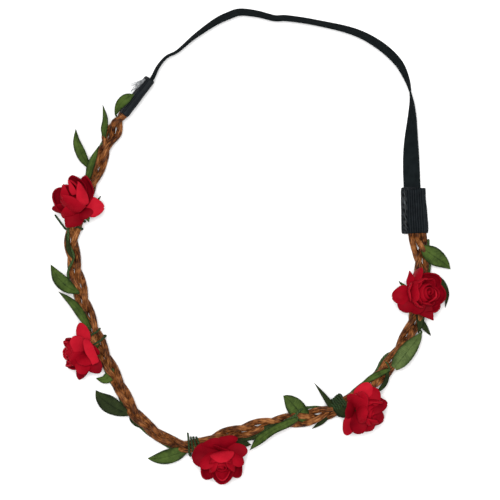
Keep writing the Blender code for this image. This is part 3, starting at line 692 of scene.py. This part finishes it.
def rose_frame(rose):
    """The wire's tip and the rose's axis, from the joint and the lean."""
    joint = JOINTS[rose + "_bend"]
    tip = np.array(joint["pos_m"], float)
    hx, hy = -joint["axis"][1], joint["axis"][0]
    lean = math.radians(LEAN[rose])
    return tip, np.array([hx * math.sin(lean), hy * math.sin(lean), math.cos(lean)])


obstacles = np.vstack(cord_lines + [vine_line])
spacing = np.concatenate([np.full(len(cord_cloud), CORD_HOLD + WIRE_RADIUS + 0.00005),
                          np.full(len(vine_line), 0.0006 + WIRE_RADIUS + 0.00005)])
PER_TURN, LEAD = 36, 6
for rose, (f, angle, run, turns, pitch, tail) in WRAPS.items():
    tip, axis = rose_frame(rose)
    s0 = f * plait.length
    stray, stand_off = MESSY.get(rose, (0.0003, 0.0))
    k = np.arange(int(turns * PER_TURN) + 1)
    s = np.concatenate([s0 + run * MM * np.arange(LEAD) / LEAD, s0 + (run + pitch * k / PER_TURN) * MM])
    a = np.concatenate([np.full(LEAD, float(angle)), angle + 360 * k / PER_TURN])
    coil = round_plait(s, a, smooth_max(hug(s, a, obstacles, spacing)) + stand_off)
    _, along, outward, up = plait.frame(s[-1])
    out = (along * tail[0] + outward * tail[1] + up * tail[2]) * MM
    neck = tip - axis * 0.0012
    path = np.vstack([spline([tip + axis * 0.001, neck, (neck + coil[1]) / 2, coil[1]], 12), coil[2:],
                      coil[-1] + out * 0.35, coil[-1] + out * 0.7, coil[-1] + out])
    path = wobble(path, 230, stray, len(rose) + s0 * 100)
    rings = tube_points(path, WIRE_RADIUS, 8, 1.0, 0, 0.2, s0 * 90)
    build(rose + "_wire_look", [grid(rings, True, True, True)], [WIRE], ROOT, rose + "_wire")


# ---------------------------------------------------------------- roses
def petal_points(base, tip, outward, width, bow=0.2, tip_round=0.5, cup=0.6, flare=0.0, sharp=0.0, seed=0.0,
                 neck=0.6):
    """A foam petal from base to tip. bow bulges it out, cup turns its sides in, flare rolls its rim out."""
    rows, cols = 15, 11
    v = np.sin(np.linspace(0, 1, rows) * np.pi / 2)
    u = np.linspace(-1, 1, cols)
    chord = tip - base
    length = np.linalg.norm(chord)
    along = chord / length
    out = unit(outward - along * np.dot(outward, along))
    side = np.cross(along, out)
    x = np.clip((v - (1 - tip_round)) / tip_round, 0, 1)
    power = 2 - sharp
    end = np.maximum(1 - x ** power, 0) ** (1 / power)
    half = width * (neck + (1 - neck) * ease(v / 0.6)) * np.maximum(end, 0.04)
    rim = np.clip((v - 0.62) / 0.38, 0, 1) ** 2
    spine = base + chord * v[:, None] + out * (bow * length * 4 * v * (1 - v))[:, None]
    w = half[:, None]
    t = (cup * (0.5 + 0.5 * v))[:, None]
    across = w * np.sin(u[None] * t) / t
    inward = -w * (1 - np.cos(u[None] * t)) / t
    roll_out = flare * (rim[:, None] * (1 - 0.35 * u[None] ** 2) + 0.35 * u[None] ** 4 * v[:, None])
    points = (spine[:, None] + side * across[..., None] + out * (inward + roll_out)[..., None]
              - along * (0.4 * flare * rim[:, None] * np.ones(cols))[..., None])
    flat = points.reshape(-1, 3)
    return wobble(flat, 330, 0.00028, seed).reshape(points.shape)


def bud_points(tip, axis, first, base, height, inner, outer, turns, phase, seed):
    """A strip of foam rolled into a spiral round the axis."""
    steps = int(turns * 22)
    levels = np.array([0.0, 0.25, 0.5, 0.72, 0.88, 1.0])
    waist = np.array([0.55, 0.86, 1.0, 0.98, 0.90, 0.80])
    second = np.cross(axis, first)
    t = np.linspace(0, 1, steps + 1)
    a = phase + 2 * np.pi * turns * t
    r = inner + (outer - inner) * t ** 0.9
    top = height * (1 - 0.12 * t) * (1 + 0.035 * np.sin(a * 1.7))
    points = np.zeros((len(levels), steps + 1, 3))
    for i, (h, w) in enumerate(zip(levels, waist)):
        points[i] = (tip + axis * (base + top * h)[:, None] + first * (r * w * np.cos(a))[:, None]
                     + second * (r * w * np.sin(a))[:, None])
    flat = points.reshape(-1, 3)
    return wobble(flat, 300, 0.00022, seed).reshape(points.shape)


# Petals: tip from the wire's tip (mm), half-width, how far it faces up rather than out, bow, share of its
# length that rounds off, cup, flare (mm), sharpness, which of FOAMS (0 plain, 1 painted shade, 2 painted
# light), and the height its base starts at (mm).
# The inner ones leave out the last two.
OUTER = {
    "rose_1": [
        (-13.2, 7.4, 4.4, 7.0, -0.3, 0.26, 0.6, 1.0, 0.5, 0.2, 1, 2.0),
        (1.0, 14.4, 6.0, 5.0, -0.1, 0.22, 0.55, 0.9, 0.4, 0, 1, 2.0),
        (-5.2, 14.7, 5.6, 4.6, -0.3, 0.24, 0.6, 0.8, 0.5, 0, 1, 2.0),
        (8.7, 1.0, 3.4, 5.1, 0.9, 0.12, 0.8, 0.45, -0.3, 0, 2, 1.4),
        (-9.4, -0.6, 6.8, 6.0, 0.5, 0.20, 0.5, 0.7, 0.3, 0.2, 0, 1.8),
        (-7.6, -7.6, 3.4, 5.2, 0.6, 0.12, 0.6, 0.5, 0, 0.7, 1, 1.4),
        (-13.9, 1.0, 1.4, 4.0, 0.4, 0.10, 0.5, 0.4, 0.4, 0.3, 1, 1.6),
        (2.4, -3.4, 4.0, 4.6, 0.7, 0.14, 0.6, 0.5, 0, 0.1, 1, 1.4),
    ],
    "rose_2": [
        (-3.6, 12.9, 7.0, 3.2, 1.0, -0.06, 0.55, 0.2, 0, 0, 2, 1.0),
        (-7.4, 6.0, 9.2, 4.3, 0.6, 0.16, 0.6, 0.6, 0, 0, 2, 2.2),
        (-2.0, -5.4, 8.8, 5.0, 0.8, 0.18, 0.6, 0.6, 0, 0, 0, 2.0),
        (1.8, 3.4, 5.6, 5.2, 0.9, 0.12, 0.5, 0.6, 0, 0, 1, 0.8),
        (-3.6, -9.6, 5.6, 4.2, 0.6, 0.16, 0.6, 0.6, 0.3, 0, 0, 2.0),
        (5.4, -8.6, 4.0, 4.2, 0.8, 0.06, 0.6, 0.4, 0, 0.3, 1, 2.4),
        (-4.6, -11.9, 1.2, 3.8, 0.3, 0.12, 0.5, 0.5, 0.4, 0.3, 1, 1.6),
        (-10.2, 5.6, 2.6, 5.0, -0.5, 0.26, 0.5, 1.0, 0.4, 0.1, 1, 2.6),
        (-9.6, -6.2, -1.0, 5.2, -0.5, 0.26, 0.5, 1.0, 0.4, 0.1, 1, 2.6),
        (-4.6, -1.6, 6.0, 4.6, 1.0, 0.12, 0.6, 0.5, 0, 0, 1, 0.8),
    ],
    "rose_3": [
        (-1.4, 4.6, 5.6, 9.0, 0.8, 0.14, 0.6, 0.6, 0, 0, 1, 1.2),
        (11.6, -1.0, 3.4, 3.6, 0.8, 0.10, 0.6, 0.4, 0.2, 0, 1, 1.4),
        (0.8, -5.9, 10.2, 6.2, 0.9, 0.24, 0.8, 0.35, 0, 0, 2, 2.6),
        (-12.6, -5.2, 4.0, 6.4, 0.7, 0.16, 0.6, 0.6, 0.2, 0, 1, 1.4),
        (-8.4, -9.0, 7.0, 4.8, 0.6, 0.20, 0.7, 0.6, 0.3, 0, 0, 2.2),
        (-7.4, -13.4, 2.2, 5.4, -0.9, 0.20, 0.6, 0.8, 0.3, 0, 1, 2.0),
        (0.4, -15.7, 2.6, 6.2, -0.6, 0.24, 0.6, 0.9, 0.4, 0, 1, 2.2),
        (7.9, -12.6, 3.0, 5.4, -0.9, 0.20, 0.6, 0.8, 0.3, 0, 1, 2.0),
        (9.0, -7.6, 5.4, 4.4, 0.5, 0.22, 0.6, 0.8, 0.3, 0, 0, 2.2),
        (0.2, 0.2, 6.6, 5.0, 1.0, 0.16, 0.6, 0.6, 0, 0, 1, 0.8),
    ],
    "rose_4": [
        (6.8, 11.3, 5.8, 4.4, 0.9, 0.10, 0.5, 0.4, 0, 0.2, 2, 1.2),
        (11.0, 7.8, 4.8, 6.4, 0.7, 0.14, 0.75, 0.6, 0.1, 0, 0, 2.0),
        (14.8, 1.6, 4.2, 6.0, 0.6, 0.16, 0.75, 0.7, 0.2, 0, 1, 2.2),
        (-3.4, 0.8, 6.6, 5.0, 0.2, 0.14, 0.5, 0.5, 0.2, 0, 1, 1.2),
        (2.0, 5.6, 10.4, 5.6, 0.7, 0.10, 0.5, 0.5, 0, 0, 0, 1.6),
        (-3.4, -11.6, 3.4, 3.6, 0.9, 0.02, 0.7, 0.3, 0, 0, 0, 1.2),
        (3.4, -10.9, 4.8, 5.0, 0.6, 0.18, 0.6, 0.6, 0.2, 0, 1, 1.8),
        (8.6, -8.8, 3.8, 6.0, 0.7, 0.14, 0.75, 0.6, 0.1, 0, 1, 2.0),
        (13.2, -4.6, 3.6, 6.0, 0.6, 0.16, 0.75, 0.7, 0.2, 0, 1, 2.2),
    ],
    "rose_5": [
        (-1.6, 9.9, 7.6, 3.3, 0.6, 0.06, 0.75, 0.6, 0, 0.8, 0, 1.6),
        (4.4, 10.9, 7.2, 5.4, 0.4, 0.20, 0.6, 0.7, 0.3, 0.3, 0, 2.0),
        (-9.1, -1.6, 5.0, 5.0, 0.8, 0.24, 0.7, 0.7, 0, 0, 0, 1.2),
        (-5.2, -7.6, 4.2, 5.2, 0.7, 0.20, 0.6, 0.7, 0.1, 0, 1, 1.4),
        (9.0, -11.7, 2.6, 4.6, 0.6, 0.10, 0.55, 0.4, 0.1, 0.9, 1, 1.4),
        (3.2, -8.4, 5.2, 5.4, 0.5, 0.20, 0.6, 0.7, 0.1, 0, 1, 1.6),
        (14.5, -0.6, 3.4, 6.8, -0.3, 0.24, 0.6, 1.0, 0.4, 0, 1, 2.2),
        (11.8, 7.2, 4.6, 5.8, -0.2, 0.24, 0.6, 0.9, 0.4, 0, 1, 2.2),
        (11.4, -7.0, 4.2, 5.2, -0.2, 0.24, 0.6, 0.9, 0.4, 0, 1, 2.2),
    ],
}
INNER = {
    "rose_1": [(-2.4, 12.0, 12.0, 3.5, 0.5, 0.16, 0.7, 0.6, 0, 0.9),
        (-8.8, 10.4, 9.6, 3.4, 0.2, 0.22, 0.6, 0.9, 0.2, 0.6),
        (-9.4, 4.4, 9.4, 4.2, 0.3, 0.24, 0.6, 0.8, 0.2, 0.3),
        (-5.6, 12.6, 10.4, 2.6, 0.3, 0.16, 0.6, 0.7, 0.2, 0.7)],
    "rose_2": [(-9.6, 3.4, 5.6, 4.0, 0.2, 0.22, 0.6, 0.9, 0.2, 0.2),
        (-8.4, -3.6, 6.8, 4.4, 0.4, 0.22, 0.6, 0.8, 0.2, 0.2),
        (-10.8, -1.6, -1.2, 4.0, 0, 0.24, 0.6, 0.9, 0.2, 0.2)],
    "rose_3": [(-3.6, -10.6, 8.2, 3.6, 0.3, 0.20, 0.6, 0.9, 0.3, 0.2),
        (4.6, -10.0, 8.0, 3.8, 0.3, 0.20, 0.6, 0.9, 0.3, 0.2),
        (0.4, -14.0, 4.2, 4.0, 0, 0.22, 0.6, 0.9, 0.3, 0)],
    "rose_4": [(5.4, 6.6, 10.4, 4.6, 0.5, 0.18, 0.5, 0.5, 0.2, 0.1),
        (5.8, -3.2, 12.0, 4.6, 0.3, 0.20, 0.5, 0.8, 0.2, 0),
        (10.8, -5.8, 7.4, 4.0, 0.2, 0.22, 0.6, 0.9, 0.2, 0),
        (12.6, 2.6, 7.4, 3.8, 0.1, 0.22, 0.6, 0.9, 0.2, 0)],
    "rose_5": [(-1.6, 1.4, 12.0, 4.8, 0.1, 0.16, 0.5, 0.8, 0.3, 0),
        (5.0, 6.2, 11.0, 4.2, 0.1, 0.20, 0.6, 0.9, 0.3, 0),
        (9.8, -1.0, 9.4, 4.2, 0.1, 0.22, 0.6, 0.9, 0.3, 0),
        (2.8, -5.4, 10.6, 4.4, 0.1, 0.20, 0.6, 0.9, 0.3, 0)],
}
# Petals that lie over the others: base and tip from the wire's tip, half-width, outward, bow, round, cup,
# sharpness and foam (which of FOAMS: 0 plain, 1 painted shade, 2 painted light).
LAID = {
    "rose_1": [((0.2, 1.4, 7.4), (-2.3, 12.0, 12.2), 3.5, (0.45, -0.2, 0.9), 0.10, 0.75, 0.7, 0.8, 2),
        ((-7.6, 3.6, 7.6), (-8.4, 11.2, 11.4), 2.7, (-0.1, -0.3, 0.9), 0.10, 0.75, 0.6, 0.9, 0),
        ((-3.6, 6.4, 9.4), (-6.2, 13.0, 11.6), 1.7, (-0.2, -0.2, 0.9), 0.08, 0.75, 0.6, 0.8, 2),
        ((-0.6, -0.6, 6.8), (-9.2, 6.4, 10.8), 4.4, (-0.3, -0.6, 0.8), 0.14, 0.65, 0.8, 0.4, 0)],
    "rose_2": [((3.2, -4.8, 7.4), (-1.6, 5.8, 9.8), 2.3, (0.35, 0.1, 0.9), 0.06, 0.45, 0.6, 0, 2)],
    "rose_3": [], "rose_4": [],
    "rose_5": [((-1.2, -0.6, 5.6), (2.2, 2.2, 12.6), 5.2, (-0.9, 0.1, 0.5), 0.14, 0.5, 0.8, 0, 0)],
}
# Sepals: tip from the wire's tip and half-width (mm).
SEPALS = {
    "rose_1": [(7.6, 5.8, 0.6, 1.8), (2.2, -5.6, 1.0, 1.9), (-5.0, -3.6, -2.0, 1.4), (-3.5, 6.0, -2.5, 1.4)],
    "rose_2": [(5.0, 4.0, 4.0, 1.7), (5.2, -1.2, 3.8, 1.5), (-1.6, -5.0, -3.0, 1.4), (-1.0, 5.0, -3.0, 1.4)],
    "rose_3": [(5.4, 1.6, 0.5, 1.6), (-5.4, 1.4, 0.5, 1.5), (-3.5, -2.0, -4.0, 1.4), (3.5, -2.0, -4.0, 1.4)],
    "rose_4": [(-1.6, 5.6, 0.5, 1.5), (-3.6, -5.0, 0.5, 1.5), (1.6, 4.0, -4.0, 1.4), (0.6, -5.0, -3.5, 1.4)],
    "rose_5": [(-6.2, 5.6, 2.4, 1.3), (-3.0, -5.6, 0.5, 1.4), (4.8, -4.0, -3.0, 1.4), (4.6, 4.6, -3.0, 1.4)],
}
# Closed petals round each bud: count, first angle (deg), tip height, tip radius and half-width (mm), sharpness
# and bow.
CUP = {"rose_1": (4, 20, 10.4, 2.4, 4.8, 0.6, 0.26), "rose_2": (5, 10, 11.0, 5.2, 4.6, 0.1, 0.16),
       "rose_3": (5, 40, 11.2, 5.0, 4.6, 0.1, 0.18), "rose_4": (5, 0, 11.8, 4.6, 4.6, 0.1, 0.18),
       "rose_5": (5, 25, 11.6, 5.2, 4.9, 0.1, 0.18)}
# Rim foam of each rolled centre and its cup petals, chosen per rose: painted light on rose_2, painted shade on
# rose_5.
CENTRE_RIM_PAINTED_LIGHT = {"rose_1": FOAM, "rose_2": FOAM_PAINTED_LIT, "rose_3": FOAM, "rose_4": FOAM, "rose_5": FOAM_PAINTED_SHADE}
# Height and radius of each rolled centre (mm).
BUD = {"rose_1": (7.4, 3.4), "rose_2": (10.6, 4.4), "rose_3": (10.8, 4.4), "rose_4": (11.4, 4.3),
       "rose_5": (11.6, 4.6)}

# The way a rose's heart faces, where it isn't the wire's.
HEART_AXIS = {"rose_5": (9.6, 0.8, 10.2)}
CALYX = [(0.0002, -0.0010), (0.0009, -0.0006), (0.0014, 0.0002), (0.0022, 0.0008), (0.0026, 0.0013)]


def facing(tip, axis, target, face_up):
    """From the rose's axis out to the target, turned upwards by the share face_up."""
    d = target - tip
    radial = unit(d - axis * np.dot(d, axis))
    return unit(radial * (1 - face_up) + np.array((0.0, 0.0, 1.0)) * face_up)


def petal(rose, part, stands_for, foams, *shape):
    build(f"{rose}_{part}", [grid(petal_points(*shape))], foams, rose + "_head", f"{rose}_{stands_for}",
          thickness=0.0008, rim=True)


for number, rose in enumerate(WRAPS):
    tip, axis = rose_frame(rose)
    seed = number * 20
    for k, (x, y, z, w, face, bow, rnd, cup, flare, sharp, foam, low) in enumerate(OUTER[rose]):
        target = tip + np.array((x, y, z)) * MM
        base = tip + axis * low * MM + facing(tip, axis, target, 0) * 0.0008
        # Petals in the painted-light foam get the rim with painted highlight; the other rims match their face.
        foams = [FOAMS[foam], FOAM_CUT_AND_HIGHLIGHT if foam == 2 else FOAMS[foam]]
        petal(rose, f"outer_{k + 1}", "outer_petals", foams, base, target, facing(tip, axis, target, face),
              w * MM, bow, rnd, cup, flare * MM, sharp, seed + k)
    for k, (x, y, z, w, face, bow, rnd, cup, flare, sharp) in enumerate(INNER[rose]):
        target = tip + np.array((x, y, z)) * MM
        base = tip + axis * 0.0034 + facing(tip, axis, target, 0) * 0.0010
        petal(rose, f"inner_{k + 1}", "inner_petals", [FOAM, FOAM_CUT_AND_HIGHLIGHT], base, target,
              facing(tip, axis, target, face), w * MM, bow, rnd, cup, flare * MM, sharp, seed + k + 11)
    for k, (low, high, w, out, bow, rnd, cup, sharp, foam) in enumerate(LAID[rose]):
        base, target = tip + np.array(low) * MM, tip + np.array(high) * MM
        petal(rose, f"laid_{k + 1}", "inner_petals", [FOAMS[foam], FOAM_CUT_AND_HIGHLIGHT], base, target, np.array(out),
              w * MM, bow, rnd, cup, 0.0002, sharp, seed + k + 70, 0.75)

    heart = unit(np.array(HEART_AXIS[rose])) if rose in HEART_AXIS else axis
    first = unit(np.cross(heart, (0.3, 0.2, 1.0)))
    count, start, high, far, w, sharp, bow = CUP[rose]
    for k in range(count):
        a = math.radians(start + 360 * k / count)
        radial = first * math.cos(a) + np.cross(heart, first) * math.sin(a)
        base = tip + heart * 0.0026 + radial * 0.0010
        target = tip + (heart * (high - 0.3 * k) + radial * (far + 0.25 * k)) * MM
        petal(rose, f"cup_{k + 1}", "inner_petals", [FOAM, CENTRE_RIM_PAINTED_LIGHT[rose]], base, target, radial,
              w * MM, bow, 0.55, 1.05, 0.0004, sharp, seed + k + 40, 0.7)
    height, outer = BUD[rose]
    points = bud_points(tip, heart, first, 0.003, (height - 3) * MM, 0.0007, outer * MM, 2.3, number * 1.1,
                        number + 60)
    build(rose + "_rolled_centre", [grid(points)], [FOAM, CENTRE_RIM_PAINTED_LIGHT[rose]], rose + "_head", rose + "_bud",
          thickness=0.00075, rim=True)

    first = unit(np.cross(axis, (0.3, 0.2, 1.0)))
    second = np.cross(axis, first)
    ring = np.linspace(0, 2 * np.pi, 20, endpoint=False)
    cup_points = np.array([[tip + axis * h + (first * math.cos(a) + second * math.sin(a)) * r for a in ring]
                           for r, h in CALYX])
    parts = [grid(cup_points, True)]
    for j, (x, y, z, w) in enumerate(SEPALS[rose]):
        end = tip + np.array((x, y, z)) * MM
        start = tip - axis * 0.0002
        parts.append(grid(petal_points(start, end, -axis, w * MM, 0.08, 0.7, 0.3, 0.0, 0.9, number + j)))
    build(rose + "_calyx_look", parts, [LEAF], rose + "_head", rose + "_calyx", thickness=0.0004)


# ---------------------------------------------------------------- cuffs
def cuff_axes(s, roll):
    """A cuff's centre and axes. The right one, at the plait's far end, is turned a little from the plait."""
    centre, along, outward, _ = plait.frame(s)
    along = unit(np.array((along[0], along[1], 0.0)))
    if s > 0:
        along = unit(np.array((-0.045, 1.0, 0.0)))
        outward = np.array((along[1], -along[0], 0.0))
    up = np.array((0.0, 0.0, 1.0))
    across = outward * math.cos(roll) + up * math.sin(roll)
    return centre, across, along, up * math.cos(roll) - outward * math.sin(roll)


def sleeve_section(half_w, half_h, corner, ribs, depth, count=240):
    """A flattened loop with ribs on its two flat faces."""
    out = []
    straight_w, straight_h = half_w - corner, half_h - corner
    lengths = [2 * straight_w, math.pi * corner / 2, 2 * straight_h, math.pi * corner / 2] * 2
    total = sum(lengths)
    for k in range(count):
        d = total * k / count
        seg = 0
        while d > lengths[seg]:
            d -= lengths[seg]
            seg += 1
        if seg in (0, 4):
            sign = 1 if seg == 0 else -1
            x = sign * (-straight_w + d)
            rib = depth * (1 - abs(math.cos(math.pi * ribs * (x + straight_w) / (2 * straight_w))) ** 5)
            out.append((x, sign * (half_h + rib)))
        elif seg in (2, 6):
            sign = 1 if seg == 2 else -1
            out.append((sign * half_w, sign * (straight_h - d)))
        else:
            start = {1: 90, 3: 0, 5: -90, 7: -180}[seg]
            a = math.radians(start - 90 * d / lengths[seg])
            cx = straight_w if seg in (1, 3) else -straight_w
            cy = straight_h if seg in (1, 7) else -straight_h
            out.append((cx + corner * math.cos(a), cy + corner * math.sin(a)))
    return np.array(out)


def cuff(name, node_name, s, roll, seed, flare, high, pinch, taper):
    """A ribbon sleeve: flare widens it along its length, pinch narrows its middle, taper thickens its end."""
    centre, across, along, upright = cuff_axes(s, roll)
    half_w, half_h = CUFF_WIDTH / 2, high / 2
    outer = sleeve_section(half_w - 0.0001, half_h - 0.00040, 0.0010, CUFF_RIBS, 0.00045)
    inner = sleeve_section(half_w - 0.0009, half_h - 0.0009, 0.0008, 0, 0.0)
    rows = []
    ends = np.linspace(-1, 1, 15)
    for y in ends:
        wave = 1 + 0.02 * math.sin(3.0 * y + seed) + flare * y
        thick = 1 - pinch * (1 - y * y) + taper * y
        rows.append([centre + across * x * wave + along * y * CUFF_LENGTH / 2 + upright * z * thick
                     for x, z in outer])
    for y in ends[::-1]:
        rows.append([centre + across * x + along * y * CUFF_LENGTH / 2 * 0.985 + upright * z * (1 + taper * y)
                     for x, z in inner])
    rows.append(rows[0])
    points = np.array(rows)
    flat = wobble(points[:-1].reshape(-1, 3), 210, 0.00022, seed).reshape(points[:-1].shape)
    verts, faces, uvs = grid(np.vstack([flat, flat[:1]]), True)
    count = flat.shape[0] * flat.shape[1]
    faces = [tuple(i % count for i in f) for f in faces]
    build(name, [(verts[:count], faces, uvs)], [RIBBON], ROOT, node_name)


CUFF_RIBS = 9
cuff("ribbon_cuff_right", "right_cuff", plait.length, 0.0, 3, -0.02, CUFF_HEIGHT, 0.05, 0.0)
cuff("ribbon_cuff_left", "left_cuff", 0.0, math.radians(-79), 4, 0.02, 0.0036, 0.0, 0.02)


def glue(name, rows, seed):
    """A thin irregular skin on the right cuff; rows are (forward, left edge, right edge, height) in mm."""
    origin, right, forward, lift = cuff_axes(plait.length, 0.0)
    p = spline(rows, 26) * MM
    u = np.linspace(0, 1, 9)
    x = p[:, 1:2] * (1 - u[None]) + p[:, 2:3] * u[None]
    h = p[:, 3:4] * (1 - (2 * u[None] - 1) ** 4 * 0.6)
    points = origin + forward * p[:, 0][:, None, None] + right * x[..., None] + lift * h[..., None]
    points = wobble(points.reshape(-1, 3), 500, 0.0003, seed).reshape(points.shape)
    build(name, [grid(points)], [GLUE], ROOT, thickness=0.0004)


glue("glue_right",
      [(-9.7, -5.1, -3.0, 2.25), (-6, -5.2, -2.6, 2.4), (-2, -5.1, -2.9, 2.35), (3, -5.2, -2.5, 2.4),
       (8, -5.1, -2.8, 2.35),
       (9.8, -5.0, -3.2, 2.25)], 11)
glue("glue_lip_right", [(9.2, -5.0, 1.0, 2.35), (9.9, -5.4, 2.4, 2.4), (10.4, -5.2, 2.0, 2.1)], 12)

# ---------------------------------------------------------------- strap
# Sizes and the route are in mm, with the strap's roll in degrees.
STRAP_WIDTH, STRAP_THICKNESS = 7.5, 0.9
HALF_WIDE, HALF_THICK, RIB_HIGH, RIB_LOW, EDGE_ROUND = 3.72, 0.40, 0.05, -0.03, 0.12
STRAP_ROUTE = [
    (71.9, 16.1, 0), (71.1, 26.0, 0), (70.7, 36.0, 10), (70.6, 46.0, 40), (71.0, 59.0, 68),
    (70.4, 67.0, 90), (68.4, 74.6, 112), (64.3, 82.0, 122), (55.9, 89.4, 120), (44.7, 95.0, 114),
    (28.0, 98.9, 107), (16.0, 100.7, 111), (10.6, 100.7, 110), (2.9, 102.6, 108), (-4.5, 103.4, 118),
    (-9.4, 101.9, 116), (-15.6, 98.9, 114), (-24.8, 92.4, 101), (-32.0, 86.2, 96), (-36.9, 83.6, 96),
    (-40.6, 79.2, 98), (-43.9, 74.2, 102), (-49.9, 66.2, 108),
]
route = []
for x, y, roll in STRAP_ROUTE:
    route.append([x, y, (STRAP_WIDTH * abs(math.sin(math.radians(roll))) + STRAP_THICKNESS) / 2 + 0.1])
seated = CUFF_HEIGHT / MM / 2 - 0.85 - 0.3 - STRAP_THICKNESS / 2
_, _, outward, _ = plait.frame(0.0)
shift = (outward * math.sin(CUFF_ROLL) - np.array((0, 0, math.cos(CUFF_ROLL)))) * seated
route[0][2] = route[1][2] = RIGHT_Z - seated
route[2][2] = 2.1
route[-3][2], route[-4][2] = 5.6, 4.8
for i in (-1, -2):
    route[i][2] = LEFT_Z
    route[i] = list(np.array(route[i]) + shift)
strap_route = Route(spline(np.array(route) * MM, 22 * 12 + 1))
marks = np.linspace(0, 1, len(route))
ordinals = np.linspace(0, 1, 22 * 12 + 1)
stations = np.arange(CUFF_LENGTH / 2 - TUCK, strap_route.length - CUFF_LENGTH / 2 + TUCK, 0.0012)
where = np.interp(stations, strap_route.marks, ordinals)
rolls = np.radians(np.interp(where, marks, [r for _, _, r in STRAP_ROUTE]))
rolls = np.convolve(np.pad(rolls, 8, mode="edge"), np.ones(17) / 17, "valid")
point, along, _, _ = strap_route.frame(stations)
flat = unit(np.cross(along, (0, 0, 1)))
upv = np.cross(flat, along)
wide = flat * np.cos(rolls)[:, None] + upv * np.sin(rolls)[:, None]
face = upv * np.cos(rolls)[:, None] - flat * np.sin(rolls)[:, None]
RIBS = 40
section = []
for side in (1, -1):
    for k in range(RIBS + 1):
        x = side * (2 * k / RIBS - 1)
        rib = RIB_HIGH if k % 2 else RIB_LOW
        section.append((x * HALF_WIDE, side * (HALF_THICK + rib - EDGE_ROUND * abs(x) ** 12)))
section = np.array(section) * MM
rings = (point[:, None] + wide[:, None] * section[None, :, 0:1] + face[:, None] * section[None, :, 1:2])
strap = build("woven_strap", [grid(rings, True, True, True)], [ELASTIC], None, "elastic_strap", subsurf=0)
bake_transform(strap)

# ---------------------------------------------------------------- frayed threads at the left cuff
THREADS = 17
parts = []
for k in range(THREADS):
    t = k / (THREADS - 1)
    start = np.array((-45.9 - 1.0 * t, 73.6 - 1.2 * t, 11.9 + 0.5 * math.sin(5 * t))) * MM
    reach = 0.75 + 0.25 * math.sin(7 * k)
    end = start + np.array((-7.2 + 1.9 * t, -2.4 - 3.2 * t, 0.6 * math.cos(9 * t))) * MM * reach
    mid = (start + end) / 2 + np.array((-0.3, 0.5 * math.sin(3 * k), 0.4)) * MM
    line = wobble(spline([start, mid, end], 12), 300, 0.0003, 30 + k)
    parts.append(grid(tube_points(line, 0.00010, 5), True, True))
build("frayed_threads", parts, [THREAD], ROOT, subsurf=0)

# ---------------------------------------------------------------- floor, light and camera
FLOOR_HALF = 3.0
floor_mesh = bpy.data.meshes.new("floor")
corners = [(x * FLOOR_HALF, y * FLOOR_HALF, 0) for x, y in ((-1, -1), (1, -1), (1, 1), (-1, 1))]
floor_mesh.from_pydata(corners, [], [(0, 1, 2, 3)])
floor = bpy.data.objects.new("floor", floor_mesh)
bpy.context.scene.collection.objects.link(floor)
floor.location.z = -0.0002
white, tree, shader = new_material("pale_floor", (0.93, 0.93, 0.93), 0.9, spec=0.1)
floor_mesh.materials.append(white)

world = bpy.data.worlds.new("studio")
bpy.context.scene.world = world
world.use_nodes = True
world.node_tree.nodes["Background"].inputs[0].default_value = (1, 1, 1, 1)
world.node_tree.nodes["Background"].inputs[1].default_value = 0.34


def area_light(name, place, size, power):
    data = bpy.data.lights.new(name, "AREA")
    data.size = size
    data.energy = power
    light = bpy.data.objects.new(name, data)
    light.location = place
    light.rotation_euler = (-Vector(place)).to_track_quat("-Z", "Y").to_euler()
    bpy.context.scene.collection.objects.link(light)


area_light("overhead", (-0.07, 0.10, 2.4), 0.8, 74)

camera_data = bpy.data.cameras.new("camera")
camera = bpy.data.objects.new("camera", camera_data)
bpy.context.scene.collection.objects.link(camera)
DISTANCE, FRAME_WIDTH, SENSOR = 2.0, 0.2200, 36
camera_data.sensor_width = SENSOR
camera_data.lens = SENSOR * DISTANCE / FRAME_WIDTH
camera.location = (-0.0002, -0.0011, DISTANCE)
camera.rotation_euler = (0, 0, 0)
camera_data.clip_end = 50
bpy.context.scene.camera = camera
bpy.context.scene.view_settings.view_transform = "Standard"
